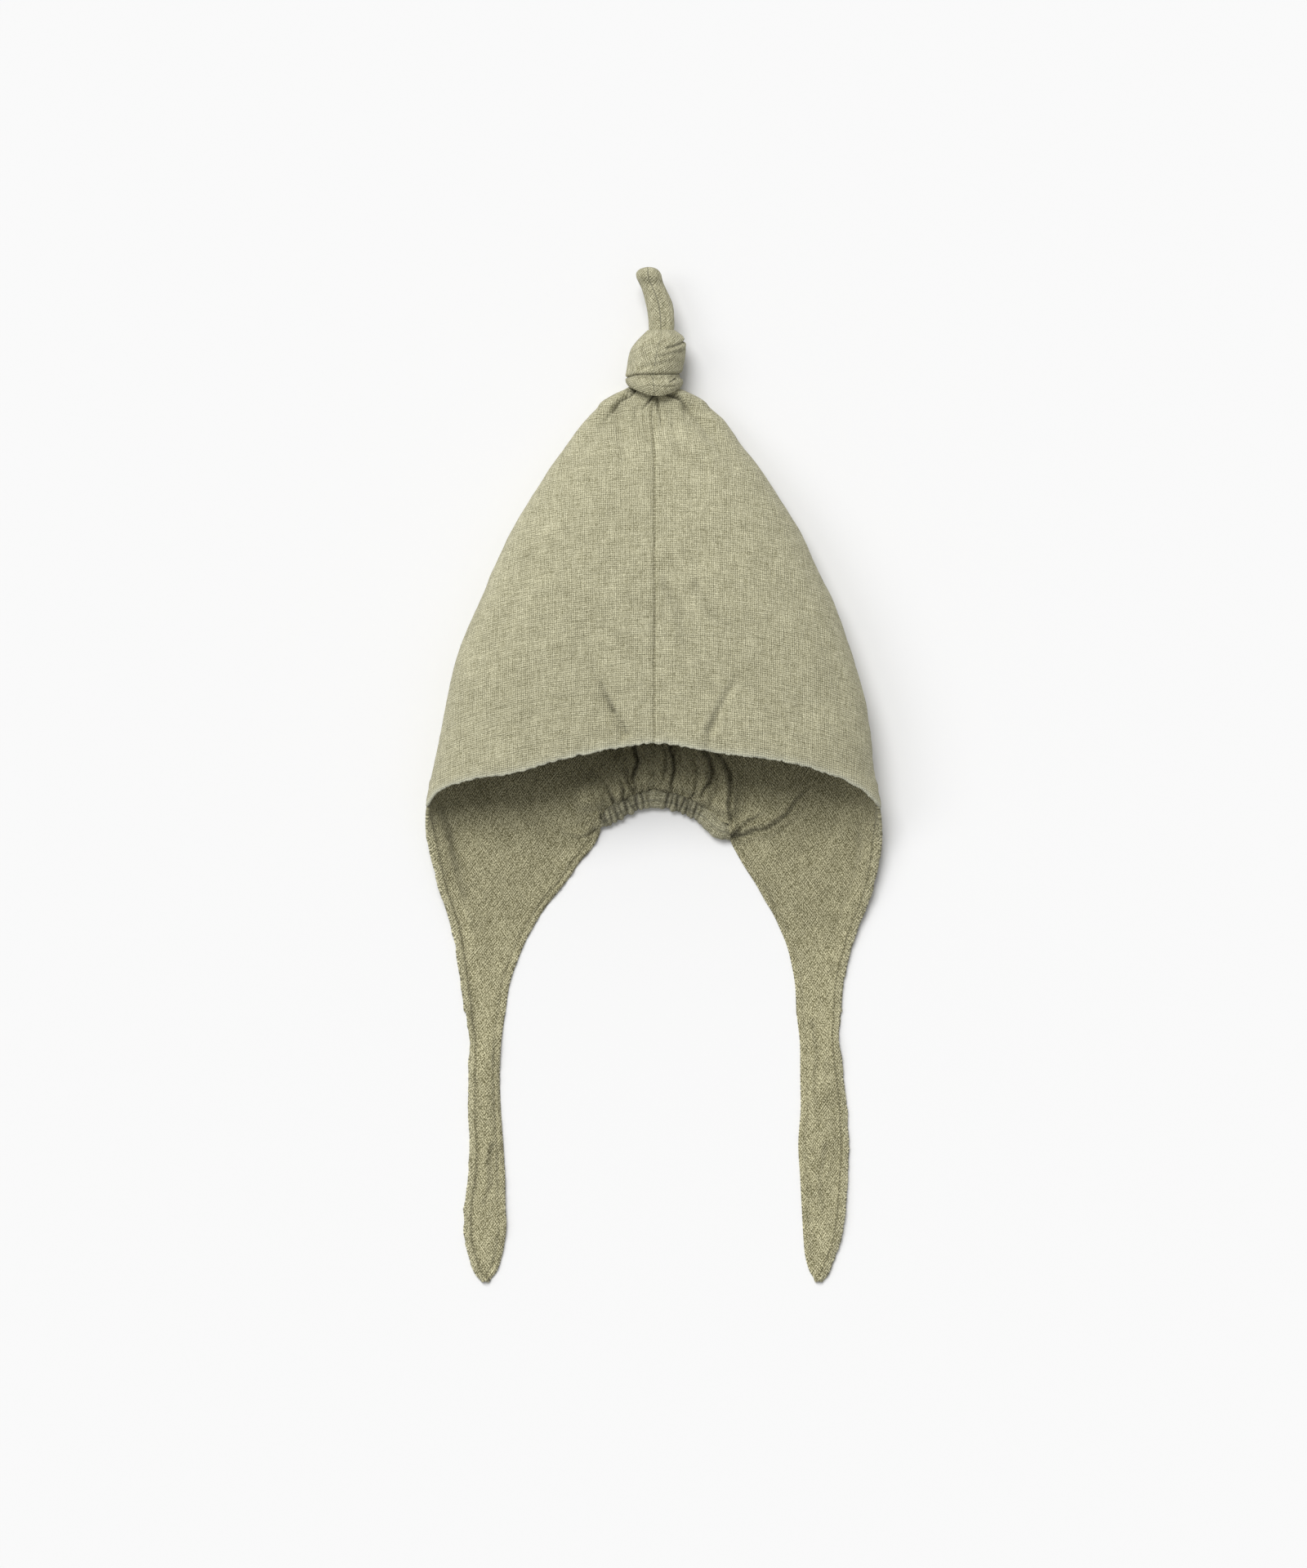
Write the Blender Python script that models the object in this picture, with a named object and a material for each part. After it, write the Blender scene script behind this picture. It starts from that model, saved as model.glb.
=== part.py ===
"""A baby's pixie bonnet of woven cotton, lying flat on its back.

Metres, +Z up. The bonnet rests on z = 0 with its knot toward +Y and its ties toward -Y.
It is shaped with the middle between its lower corners at y = 0, and centred at the end.
Tables hold their lengths as shares of the named sizes, one row for each section or fold.
"""

import math
from collections import namedtuple

import bmesh
import bpy
from mathutils import Vector

# Hood, as it lies
HOOD_WIDTH = 0.200
HOOD_LENGTH = 0.179
PUFF_HEIGHT = 0.042
SIDE_FOLD_HEIGHT = 0.015
SIDE_FOLD_SHARE = 0.26
ARCH_POWER = 2.4

# Cloth
WALL = 0.0012
HEM_WALL = 0.0018
HEM_WIDTH = 0.0035
CLEARANCE = 0.0003

# Ear flaps and ties
FLAP_LENGTH = 0.092
TIE_LENGTH = 0.118
TIE_WIDTH = 0.0185
TIE_PLACE = 0.074
TIE_LIFT = 0.0035

# Gathered nape
CASING_HEIGHT = 0.0075
CASING_THICKNESS = 0.0048
CASING_SPAN = 0.057
CASING_LEFT_SHARE = 0.42
NAPE_RISE = 0.0025
NAPE_DROP = 0.0145
SCALLOPS = 18
SCALLOP_DEPTH = 0.0007
NAPE_FOLDS = 8
NAPE_FOLD_HEIGHT = 0.0034
NAPE_FOLD_LENGTH = 0.032

# Knot and its tail; FOOT_LEAN to FOLD_SLOPE are stretches below the knot, as shares of HOOD_LENGTH
KNOT_WIDTH = 0.0262
KNOT_LENGTH = 0.029
KNOT_DEPTH = 0.0225
NECK_WIDTH = 0.023
NECK_HEIGHT = 0.0155
NECK_FOLDS = 8
NECK_FOLD_DEPTH = 0.0020
NECK_FOLD_LENGTH = 0.034
FOOT_SLOPE = 0.16
FOOT_LEAN = 0.20
NECK_FLARE = 0.03
NECK_SLOPE = 0.14
FOLD_SLOPE = 0.75
CREASE_DEPTH = 0.0016
TAIL_LENGTH = 0.028
TAIL_WIDTH = 0.0118
TAIL_DEPTH = 0.0056
TAIL_LEAN = 0.0055

# Divisions of the faceted surfaces
FRONT_COLUMNS = 16
FOLD_COLUMNS = 4
FLAT_COLUMNS = 3
GATHER_COLUMNS = 16
HOOD_ROWS = 20
FLAP_ROWS = 12
TIE_ROWS = 18
TIE_COLUMNS = 4
CASING_SECTIONS_PER_SCALLOP = 3
CASING_SIDES = 8
KNOT_RINGS = 15
KNOT_SIDES = 24
TAIL_RINGS = 9
TAIL_SIDES = 12

LEFT = -1
RIGHT = 1

# up: share of HOOD_LENGTH above the lower corners
# left, right: half width as a share of half of HOOD_WIDTH
# height: top of the front as a share of PUFF_HEIGHT
Section = namedtuple("Section", "up left right height")
HOOD_SECTIONS = (
    Section(0.00, 0.998, 0.994, 0.90),
    Section(0.09, 0.966, 0.962, 0.98),
    Section(0.17, 0.937, 0.948, 1.00),
    Section(0.25, 0.908, 0.926, 1.00),
    Section(0.33, 0.876, 0.890, 1.00),
    Section(0.41, 0.836, 0.844, 0.99),
    Section(0.49, 0.772, 0.793, 0.97),
    Section(0.57, 0.710, 0.718, 0.93),
    Section(0.65, 0.646, 0.653, 0.87),
    Section(0.73, 0.567, 0.574, 0.79),
    Section(0.81, 0.477, 0.487, 0.69),
    Section(0.89, 0.376, 0.373, 0.58),
    Section(0.94, 0.308, 0.305, 0.49),
    Section(0.98, 0.232, 0.224, 0.41),
)

# out: share of the half width; left, right: the edge as a share of HOOD_LENGTH above the corners
FrontEdge = namedtuple("FrontEdge", "out left right")
FRONT_EDGE = (
    FrontEdge(0.00, 0.151, 0.151),
    FrontEdge(0.10, 0.145, 0.147),
    FrontEdge(0.22, 0.134, 0.133),
    FrontEdge(0.36, 0.119, 0.122),
    FrontEdge(0.50, 0.098, 0.115),
    FrontEdge(0.65, 0.076, 0.100),
    FrontEdge(0.80, 0.064, 0.074),
    FrontEdge(0.92, 0.045, 0.043),
    FrontEdge(0.97, 0.029, 0.016),
    FrontEdge(1.00, 0.000, -0.006),
)

# out: share of the casing's half span; left, right: fall of its middle as a share of NAPE_DROP
NapeLine = namedtuple("NapeLine", "out left right")
NAPE_LINE = (
    NapeLine(0.00, 0.00, 0.00),
    NapeLine(0.33, 0.13, 0.17),
    NapeLine(0.66, 0.40, 0.52),
    NapeLine(0.86, 0.59, 0.90),
    NapeLine(1.00, 0.73, 1.00),
)

# down: share of FLAP_LENGTH; the four edges run from 0 at the root to 1 at the tie
# rim: height of the outer edge as a share of SIDE_FOLD_HEIGHT
FlapSection = namedtuple("FlapSection", "down left_outer left_inner right_outer right_inner rim")
FLAP_SECTIONS = (
    FlapSection(0.00, 0.00, 0.00, 0.00, 0.00, 1.00),
    FlapSection(0.06, -0.04, 0.00, -0.02, 0.00, 0.97),
    FlapSection(0.14, -0.02, 0.08, -0.04, 0.05, 0.90),
    FlapSection(0.22, 0.09, 0.22, 0.02, 0.19, 0.80),
    FlapSection(0.30, 0.18, 0.33, 0.09, 0.32, 0.67),
    FlapSection(0.38, 0.30, 0.46, 0.18, 0.46, 0.53),
    FlapSection(0.46, 0.43, 0.59, 0.31, 0.59, 0.38),
    FlapSection(0.54, 0.59, 0.69, 0.49, 0.71, 0.26),
    FlapSection(0.62, 0.70, 0.78, 0.64, 0.81, 0.17),
    FlapSection(0.70, 0.78, 0.85, 0.76, 0.88, 0.10),
    FlapSection(0.84, 0.89, 0.95, 0.94, 0.97, 0.04),
    FlapSection(1.00, 1.00, 1.00, 1.00, 1.00, 0.03),
)

# down: share of TIE_LENGTH; middle: shift out from TIE_PLACE and width, as shares of TIE_WIDTH
# lift: height of the middle as a share of TIE_LIFT; roll: rise of the outer edge, the same
TieSection = namedtuple("TieSection", "down left_middle left_width right_middle right_width lift roll")
TIE_SECTIONS = (
    TieSection(0.00, 0.02, 0.92, -0.08, 1.02, 0.10, 0.15),
    TieSection(0.12, 0.01, 0.76, -0.06, 0.95, 0.35, 0.20),
    TieSection(0.24, 0.02, 0.71, -0.02, 1.01, 0.60, 0.05),
    TieSection(0.36, 0.01, 0.73, 0.02, 1.07, 0.70, -0.10),
    TieSection(0.49, -0.03, 0.78, 0.02, 1.19, 0.45, -0.05),
    TieSection(0.61, -0.04, 0.86, 0.03, 1.13, 0.20, 0.10),
    TieSection(0.73, 0.01, 0.99, 0.03, 1.05, 0.10, 0.20),
    TieSection(0.79, 0.00, 1.01, 0.01, 0.97, 0.15, 0.20),
    TieSection(0.85, 0.01, 0.95, -0.01, 0.88, 0.25, 0.10),
    TieSection(0.91, 0.00, 0.78, -0.06, 0.70, 0.25, 0.00),
    TieSection(0.97, 0.00, 0.51, -0.08, 0.43, 0.15, 0.00),
    TieSection(1.00, 0.00, 0.14, -0.08, 0.12, 0.10, 0.00),
)

# Straight dents and ridges: ends across (share of half HOOD_WIDTH) and up (share of HOOD_LENGTH)
# rise: share of PUFF_HEIGHT, below zero for a dent; reach: share of PUFF_HEIGHT
Fold = namedtuple("Fold", "across_from up_from across_to up_to rise reach")
FRONT_FOLDS = (
    Fold(-0.28, 0.37, -0.13, 0.18, -0.085, 0.22),
    Fold(0.34, 0.30, 0.22, 0.14, -0.055, 0.22),
    Fold(0.02, 0.98, 0.01, 0.78, -0.050, 0.20),
)
BACK_FOLDS = (
    Fold(-0.50, -0.04, -0.30, -0.02, 0.085, 0.30),
    Fold(0.36, -0.08, 0.54, -0.03, 0.100, 0.20),
    Fold(0.54, -0.03, 0.65, 0.04, 0.090, 0.20),
)

# up: share of KNOT_LENGTH; shift: middle across, width: both as shares of KNOT_WIDTH
# depth: share of KNOT_DEPTH
KnotRing = namedtuple("KnotRing", "up shift width depth")
KNOT_PROFILE = (
    KnotRing(0.00, 0.02, 0.88, 0.80),
    KnotRing(0.07, 0.01, 0.95, 0.90),
    KnotRing(0.18, 0.00, 0.96, 0.95),
    KnotRing(0.27, -0.01, 0.89, 0.88),
    KnotRing(0.35, -0.01, 0.91, 0.93),
    KnotRing(0.50, 0.03, 0.94, 1.00),
    KnotRing(0.62, 0.05, 0.94, 1.00),
    KnotRing(0.74, 0.08, 0.90, 0.95),
    KnotRing(0.86, 0.12, 0.78, 0.82),
    KnotRing(0.94, 0.13, 0.62, 0.66),
    KnotRing(1.00, 0.12, 0.46, 0.42),
)

# Diagonal creases of the knot: height at the middle of the front, climb per turn, both shares
KnotCrease = namedtuple("KnotCrease", "up climb depth reach")
KNOT_CREASES = (
    KnotCrease(0.27, 0.10, 1.00, 0.05),
    KnotCrease(0.52, 1.10, 0.70, 0.06),
    KnotCrease(0.78, 0.80, 0.50, 0.06),
)

# up: share of TAIL_LENGTH; shift: share of TAIL_LEAN; width, depth: shares of the tail's own
TailRing = namedtuple("TailRing", "up shift width depth")
TAIL_PROFILE = (
    TailRing(0.00, 0.00, 0.92, 0.85),
    TailRing(0.20, 0.02, 0.96, 0.95),
    TailRing(0.45, 0.22, 0.99, 1.00),
    TailRing(0.70, 0.62, 0.94, 0.95),
    TailRing(0.88, 0.92, 0.86, 0.80),
    TailRing(0.96, 1.00, 0.74, 0.60),
    TailRing(1.00, 1.00, 0.46, 0.35),
)

HALF_WIDTH = HOOD_WIDTH / 2
NECK_MIDDLE = NECK_HEIGHT / 2
KNOT_MIDDLE = KNOT_DEPTH / 2


def read(table, key, name, at):
    """Value of one column at a place between the rows, on a smooth curve through them."""
    places = [getattr(row, key) for row in table]
    values = [getattr(row, name) for row in table]
    at = min(max(at, places[0]), places[-1])
    low = max(index for index in range(len(places) - 1) if places[index] <= at)
    span = places[low + 1] - places[low]
    share = (at - places[low]) / span

    def slope(index):
        before = max(index - 1, 0)
        after = min(index + 1, len(places) - 1)
        return (values[after] - values[before]) / (places[after] - places[before]) * span

    rise = values[low + 1] - values[low]
    start = slope(low)
    end = slope(low + 1)
    curve = start * share * (1 - share) ** 2 - end * share**2 * (1 - share)
    return values[low] + rise * share**2 * (3 - 2 * share) + curve


def mix(start, end, share):
    return start + (end - start) * share


def ease(share):
    share = min(max(share, 0.0), 1.0)
    return share * share * (3 - 2 * share)


def hand(side):
    return "left" if side == LEFT else "right"


def folds_rise(folds, x, y):
    """Sum of the dents and ridges of a table at one place."""
    total = 0.0
    for fold in folds:
        start = Vector((fold.across_from * HALF_WIDTH, fold.up_from * HOOD_LENGTH))
        end = Vector((fold.across_to * HALF_WIDTH, fold.up_to * HOOD_LENGTH))
        run = end - start
        share = (Vector((x, y)) - start).dot(run) / run.length_squared
        nearest = start + run * min(max(share, 0.0), 1.0)
        away = (Vector((x, y)) - nearest).length / (fold.reach * PUFF_HEIGHT)
        total += fold.rise * PUFF_HEIGHT * math.exp(-away * away)
    return total


def casing_reach(side):
    """Half span of the casing, which lies a little to the right of the middle."""
    return CASING_SPAN * (CASING_LEFT_SHARE if side == LEFT else 1 - CASING_LEFT_SHARE)


def nape_y(side, x):
    """Middle of the casing at a distance from the centre."""
    out = min(abs(x) / casing_reach(side), 1.0)
    return NAPE_RISE - NAPE_DROP * read(NAPE_LINE, "out", hand(side), out)


def top_share(up, stretch):
    """0 to 1 over the hood's last stretch, a share of its length, up to the knot."""
    return ease(1 - (1 - up) / stretch)


def half_width(side, up):
    """Half width of the hood, which runs into the knot's neck at the top."""
    body = HALF_WIDTH * read(HOOD_SECTIONS, "up", hand(side), up)
    return mix(body, NECK_WIDTH / 2, top_share(up, NECK_FLARE))


def top_height(up):
    body = PUFF_HEIGHT * read(HOOD_SECTIONS, "up", "height", up)
    return mix(body, NECK_HEIGHT, top_share(up, NECK_SLOPE))


def fold_height(up):
    """Height at which the side turns from the front to the back."""
    return mix(SIDE_FOLD_HEIGHT, NECK_MIDDLE, top_share(up, FOLD_SLOPE))


def foot_y(z):
    """Lower face of the knot, which leans over the front of the neck."""
    return HOOD_LENGTH - FOOT_SLOPE * (z - NECK_MIDDLE)


def neck_folds(turn, up):
    """Gathers that spread from the knot, strongest at its foot."""
    down = (1 - up) * HOOD_LENGTH / NECK_FOLD_LENGTH
    fade = math.exp(-down * down * 2) * min(1.0, 0.35 + down * 3)
    return -NECK_FOLD_DEPTH * fade * (0.5 - 0.5 * math.cos(2 * math.pi * turn * NECK_FOLDS / 2))


def lay_up(up, z):
    """Y of a share of the hood's length. The last stretch leans to lie along the knot's foot."""
    lean = (foot_y(z) - CLEARANCE - HOOD_LENGTH) * top_share(up, FOOT_LEAN)
    return up * HOOD_LENGTH + lean


def front_point(side, turn, rise):
    """Front of the hood. turn runs 0 to 1 from the seam to the side, rise 0 to 1 from the edge up."""
    angle = (1 - turn) * math.pi / 2
    out = math.cos(angle) ** (2 / ARCH_POWER) if turn > 0 else 0.0
    crown = math.sin(angle) ** (2 / ARCH_POWER) if turn < 1 else 0.0
    up = mix(read(FRONT_EDGE, "out", hand(side), out), 1.0, rise)
    x = side * mix(CLEARANCE / 2, half_width(side, up), out)
    z = mix(fold_height(up), top_height(up), crown)
    z += (folds_rise(FRONT_FOLDS, x, up * HOOD_LENGTH) + neck_folds(turn, up)) * crown
    return Vector((x, lay_up(up, z), z))


def root_up(side, out):
    """Lower end of the back, as a share of HOOD_LENGTH, from the corner in to the casing."""
    corner = read(FRONT_EDGE, "out", hand(side), 1.0)
    inner = (nape_y(side, casing_reach(side)) + casing_stand()) / HOOD_LENGTH
    reach = casing_reach(side) / half_width(side, 0)
    if out >= reach:
        return mix(inner, corner, (out - reach) / (1 - reach))
    middle = nape_y(side, out * half_width(side, 0)) + casing_stand()
    return middle / HOOD_LENGTH


def casing_stand():
    """Distance from the casing's middle to the cloth that runs into it."""
    return CASING_HEIGHT / 2 + CLEARANCE


def nape_folds(across, y, bottom):
    """Tall gathers above the casing. across runs 0 to 1 from the casing's end to the middle."""
    fade = math.exp(-(((y - bottom) / NAPE_FOLD_LENGTH) ** 2) * 2)
    wave = 0.5 - 0.5 * math.cos(2 * math.pi * across * NAPE_FOLDS / 2)
    return NAPE_FOLD_HEIGHT * wave * fade


def back_point(side, turn, rise):
    """Back of the hood. turn: 0 to 0.5 round the side fold, to 1 at the casing's end, to 2 at the middle."""
    reach = casing_reach(side) / half_width(side, 0)
    flat = 1 - SIDE_FOLD_SHARE
    if turn <= 0.5:
        angle = turn * math.pi
        out = flat + SIDE_FOLD_SHARE * math.cos(angle)
        lift = 1 - math.sin(angle)
    else:
        out = mix(flat, reach, (turn - 0.5) * 2) if turn <= 1 else reach * (2 - turn)
        lift = 0.0
    bottom = root_up(side, out)
    up = mix(bottom, 1.0, rise)
    x = side * mix(CLEARANCE / 2, half_width(side, up), out)
    y = up * HOOD_LENGTH
    z = lift * fold_height(up)
    if turn > 0.5:
        z += max(folds_rise(BACK_FOLDS, x, y), 0.0) * ease((turn - 0.5) * 4)
    if turn > 1:
        z += nape_folds(turn - 1, y, bottom * HOOD_LENGTH)
    return Vector((x, lay_up(up, z), z))


def flap_point(side, turn, down):
    """Ear flap, which runs on from the back below the corner. turn as in back_point, up to 1."""
    width = TIE_WIDTH * read(TIE_SECTIONS, "down", hand(side) + "_width", 0)
    middle = TIE_PLACE + TIE_WIDTH * read(TIE_SECTIONS, "down", hand(side) + "_middle", 0)
    outer_share = read(FLAP_SECTIONS, "down", hand(side) + "_outer", down)
    inner_share = read(FLAP_SECTIONS, "down", hand(side) + "_inner", down)
    outer = mix(half_width(side, 0), middle + width / 2, outer_share)
    inner = mix(casing_reach(side), middle - width / 2, inner_share)
    corner_y = root_up(side, 1.0) * HOOD_LENGTH
    end_y = -FLAP_LENGTH
    outer_y = mix(corner_y, end_y, down)
    start_y = nape_y(side, casing_reach(side))
    step = FLAP_SECTIONS[1].down
    if down <= step:
        inner_y = start_y + casing_stand() * (1 - 2 * down / step)
    else:
        inner_y = mix(start_y - casing_stand(), end_y, (down - step) / (1 - step))
    rim = SIDE_FOLD_HEIGHT * read(FLAP_SECTIONS, "down", "rim", down)
    curl = mix(SIDE_FOLD_SHARE * half_width(side, 0), width * 0.35, ease(down * 1.2))
    flat_at = outer - curl
    if turn <= 0.5:
        angle = turn * math.pi
        x = flat_at + curl * math.cos(angle)
        z = rim * (1 - math.sin(angle))
    else:
        x = mix(flat_at, inner, (turn - 0.5) * 2)
        z = 0.0
    y = mix(outer_y, inner_y, (outer - x) / (outer - inner))
    if turn > 0.5:
        z += max(folds_rise(BACK_FOLDS, side * x, y), 0.0) * ease((turn - 0.5) * 4)
    return Vector((side * x, y, z))


def tie_point(side, across, down):
    """Tie, which lies loosely on the surface. across runs 0 to 1 from its outer to its inner edge."""
    width = TIE_WIDTH * read(TIE_SECTIONS, "down", hand(side) + "_width", down)
    middle = TIE_PLACE + TIE_WIDTH * read(TIE_SECTIONS, "down", hand(side) + "_middle", down)
    lift = TIE_LIFT * read(TIE_SECTIONS, "down", "lift", down) * math.sin(math.pi * across)
    roll = TIE_LIFT * read(TIE_SECTIONS, "down", "roll", down) * side
    start = mix(0.4, 1.0, ease(down * 5))
    z = (max(lift, 0.0) + abs(roll) * (1 - across if roll > 0 else across)) * start
    x = middle + width * (0.5 - across)
    return Vector((side * x, -FLAP_LENGTH - CLEARANCE - down * TIE_LENGTH, z))


def grid_faces(columns, rows, first, flip):
    """Quads of a grid whose points are numbered row by row from first."""
    faces = []
    for row in range(rows):
        for column in range(columns):
            corner = first + row * (columns + 1) + column
            quad = (corner, corner + 1, corner + columns + 2, corner + columns + 1)
            faces.append(quad[::-1] if flip else quad)
    return faces


def vertex_normals(points, faces):
    normals = [Vector() for _ in points]
    for face in faces:
        diagonal_a = points[face[2]] - points[face[0]]
        diagonal_b = points[face[3]] - points[face[1]]
        across = diagonal_a.cross(diagonal_b)
        for index in face:
            normals[index] += across
    return [normal.normalized() for normal in normals]


def thicken(points, faces, walls, seam):
    """Closed wall behind an outer skin. Points listed in seam keep their x, so that halves meet."""
    inner = []
    for index, normal in enumerate(vertex_normals(points, faces)):
        if index in seam:
            normal = Vector((0, normal.y, normal.z)).normalized()
        inner.append(points[index] - normal * walls[index])
    count = len(points)
    solid = list(faces) + [tuple(index + count for index in face[::-1]) for face in faces]
    solid += [(end, start, start + count, end + count) for start, end in rim_edges(faces)]
    return points + inner, solid


def rim_edges(faces):
    """Edges that only one face uses, in that face's own direction."""
    directed = set()
    for face in faces:
        directed.update(zip(face, face[1:] + face[:1]))
    return sorted(edge for edge in directed if edge[::-1] not in directed)


def make_object(name, points, faces, material):
    mesh = bpy.data.meshes.new(name)
    mesh.from_pydata(points, [], faces)
    edit = bmesh.new()
    edit.from_mesh(mesh)
    bmesh.ops.recalc_face_normals(edit, faces=edit.faces)
    bmesh.ops.triangulate(edit, faces=edit.faces)
    edit.to_mesh(mesh)
    edit.free()
    mesh.shade_smooth()
    mesh.set_sharp_from_angle(angle=math.radians(50))
    mesh.materials.append(material)
    item = bpy.data.objects.new(name, mesh)
    bpy.context.scene.collection.objects.link(item)
    return item


def cotton(name, color):
    material = bpy.data.materials.new(name)
    material.use_nodes = True
    shader = material.node_tree.nodes["Principled BSDF"]
    shader.inputs["Base Color"].default_value = (*color, 1)
    shader.inputs["Roughness"].default_value = 0.92
    shader.inputs["Metallic"].default_value = 0
    return material


def hood_rises():
    """Rows from the lower edge up: one at the hem's width, then even, closer near the knot."""
    hem = HEM_WIDTH / HOOD_LENGTH
    count = HOOD_ROWS - 1
    return [0.0] + [hem + (1 - hem) * (1 - (1 - k / count) ** 1.25) for k in range(count + 1)]


def crown_panel(side, material):
    """One half of the hood, from the front seam round the side to the back, with its ear flap."""
    rises = hood_rises()
    fronts = [k / FRONT_COLUMNS for k in range(FRONT_COLUMNS)]
    turns = [k / FOLD_COLUMNS / 2 for k in range(FOLD_COLUMNS)]
    turns += [0.5 + k / FLAT_COLUMNS / 2 for k in range(FLAT_COLUMNS)]
    turns += [1 + k / GATHER_COLUMNS for k in range(GATHER_COLUMNS + 1)]
    points = []
    for rise in rises:
        points += [front_point(side, turn, rise) for turn in fronts]
        points += [back_point(side, turn, rise) for turn in turns]
    columns = len(fronts) + len(turns) - 1
    faces = grid_faces(columns, len(rises) - 1, 0, side == LEFT)
    walls = [HEM_WALL if k < 2 * (columns + 1) and k % (columns + 1) <= len(fronts) else WALL
             for k in range(len(points))]
    ends = (0, columns)
    seam = {k for k in range(len(points)) if k % (columns + 1) in ends}
    flap_turns = turns[:FOLD_COLUMNS + FLAT_COLUMNS + 1]
    root = list(range(len(fronts), len(fronts) + len(flap_turns)))
    for step in range(1, FLAP_ROWS + 1):
        first = len(points)
        points += [flap_point(side, turn, step / FLAP_ROWS) for turn in flap_turns]
        walls += [HEM_WALL if turn < 0.2 else WALL for turn in flap_turns]
        row = list(range(first, len(points)))
        for k in range(len(row) - 1):
            quad = (row[k], row[k + 1], root[k + 1], root[k])
            faces.append(quad[::-1] if side == LEFT else quad)
        root = row
    solid_points, solid_faces = thicken(points, faces, walls, seam)
    return make_object("crown_" + hand(side), solid_points, solid_faces, material)


def tie(side, material):
    """One tapering tie with a turned end."""
    points = []
    for row in range(TIE_ROWS + 1):
        down = 1 - (1 - row / TIE_ROWS) ** 1.3
        points += [tie_point(side, k / TIE_COLUMNS, down) for k in range(TIE_COLUMNS + 1)]
    faces = grid_faces(TIE_COLUMNS, TIE_ROWS, 0, side == RIGHT)
    walls = [HEM_WALL if k % (TIE_COLUMNS + 1) < 2 else WALL for k in range(len(points))]
    solid_points, solid_faces = thicken(points, faces, walls, set())
    return make_object("tie_" + hand(side), solid_points, solid_faces, material)


def ring_faces(rings, sides):
    """Skin of a tube whose points are numbered ring by ring, with a flat fan at each end."""
    faces = []
    for ring in range(rings - 1):
        for k in range(sides):
            after = (k + 1) % sides
            start = ring * sides
            faces.append((start + k, start + after, start + sides + after, start + sides + k))
    faces.append(tuple(range(sides))[::-1])
    faces.append(tuple(range((rings - 1) * sides, rings * sides)))
    return faces


def nape_casing(material):
    """Elastic channel at the nape, pinched into scallops by its elastic."""
    left = -casing_reach(LEFT) + CLEARANCE
    right = casing_reach(RIGHT) - CLEARANCE
    sections = SCALLOPS * CASING_SECTIONS_PER_SCALLOP
    points = []
    for section in range(sections + 1):
        share = section / sections
        x = mix(left, right, share)
        y = nape_y(LEFT if x < 0 else RIGHT, x)
        pinch = SCALLOP_DEPTH * (0.5 + 0.5 * math.cos(2 * math.pi * share * SCALLOPS))
        for k in range(CASING_SIDES):
            angle = 2 * math.pi * (k + 0.5) / CASING_SIDES
            height = (CASING_HEIGHT / 2 - pinch) * math.cos(angle)
            depth = (CASING_THICKNESS / 2 - pinch) * math.sin(angle)
            points.append(Vector((x, y + height, CASING_THICKNESS / 2 + depth)))
    return make_object("nape_casing", points, ring_faces(sections + 1, CASING_SIDES), material)


def crease_depth(up, angle):
    """Depth of the knot's creases at a height share and an angle from its front."""
    total = 0.0
    turn = math.atan2(math.sin(angle), math.cos(angle)) / (2 * math.pi)
    for crease in KNOT_CREASES:
        line = crease.up + crease.climb * turn
        away = (up - line) / crease.reach
        total += CREASE_DEPTH * crease.depth * math.exp(-away * away) * (0.5 + 0.5 * math.cos(angle))
    return total


def knot_point(up, angle):
    """Skin of the knot. angle is 0 at the front, which faces up, and grows toward +X."""
    shift = KNOT_WIDTH * read(KNOT_PROFILE, "up", "shift", up)
    wide = KNOT_WIDTH / 2 * read(KNOT_PROFILE, "up", "width", up)
    deep = KNOT_DEPTH / 2 * read(KNOT_PROFILE, "up", "depth", up)
    crease = crease_depth(up, angle)
    x = shift + (wide - crease) * math.sin(angle)
    z = KNOT_MIDDLE + (deep - crease) * math.cos(angle)
    lean = (foot_y(z) - HOOD_LENGTH) * (1 - ease(up * 1.6))
    return Vector((x, HOOD_LENGTH + up * KNOT_LENGTH + lean, z))


def top_knot(material):
    """Knot that the tops of the two panels are tied in."""
    points = []
    for ring in range(KNOT_RINGS):
        up = ring / (KNOT_RINGS - 1)
        points += [knot_point(up, 2 * math.pi * k / KNOT_SIDES) for k in range(KNOT_SIDES)]
    return make_object("top_knot", points, ring_faces(KNOT_RINGS, KNOT_SIDES), material)


def knot_tail(material):
    """Free end above the knot: a flattened roll of cloth that leans to the left."""
    base_x = KNOT_WIDTH * read(KNOT_PROFILE, "up", "shift", 1.0)
    base_y = HOOD_LENGTH + KNOT_LENGTH + CLEARANCE
    points = []
    for ring in range(TAIL_RINGS):
        up = 1 - (1 - ring / (TAIL_RINGS - 1)) ** 1.3
        wide = TAIL_WIDTH / 2 * read(TAIL_PROFILE, "up", "width", up)
        deep = TAIL_DEPTH / 2 * read(TAIL_PROFILE, "up", "depth", up)
        x = base_x - TAIL_LEAN * read(TAIL_PROFILE, "up", "shift", up)
        for k in range(TAIL_SIDES):
            angle = 2 * math.pi * k / TAIL_SIDES
            place = Vector((x + wide * math.sin(angle), base_y + up * TAIL_LENGTH, 0))
            place.z = KNOT_MIDDLE + deep * math.cos(angle)
            points.append(place)
    return make_object("knot_tail", points, ring_faces(TAIL_RINGS, TAIL_SIDES), material)


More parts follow.
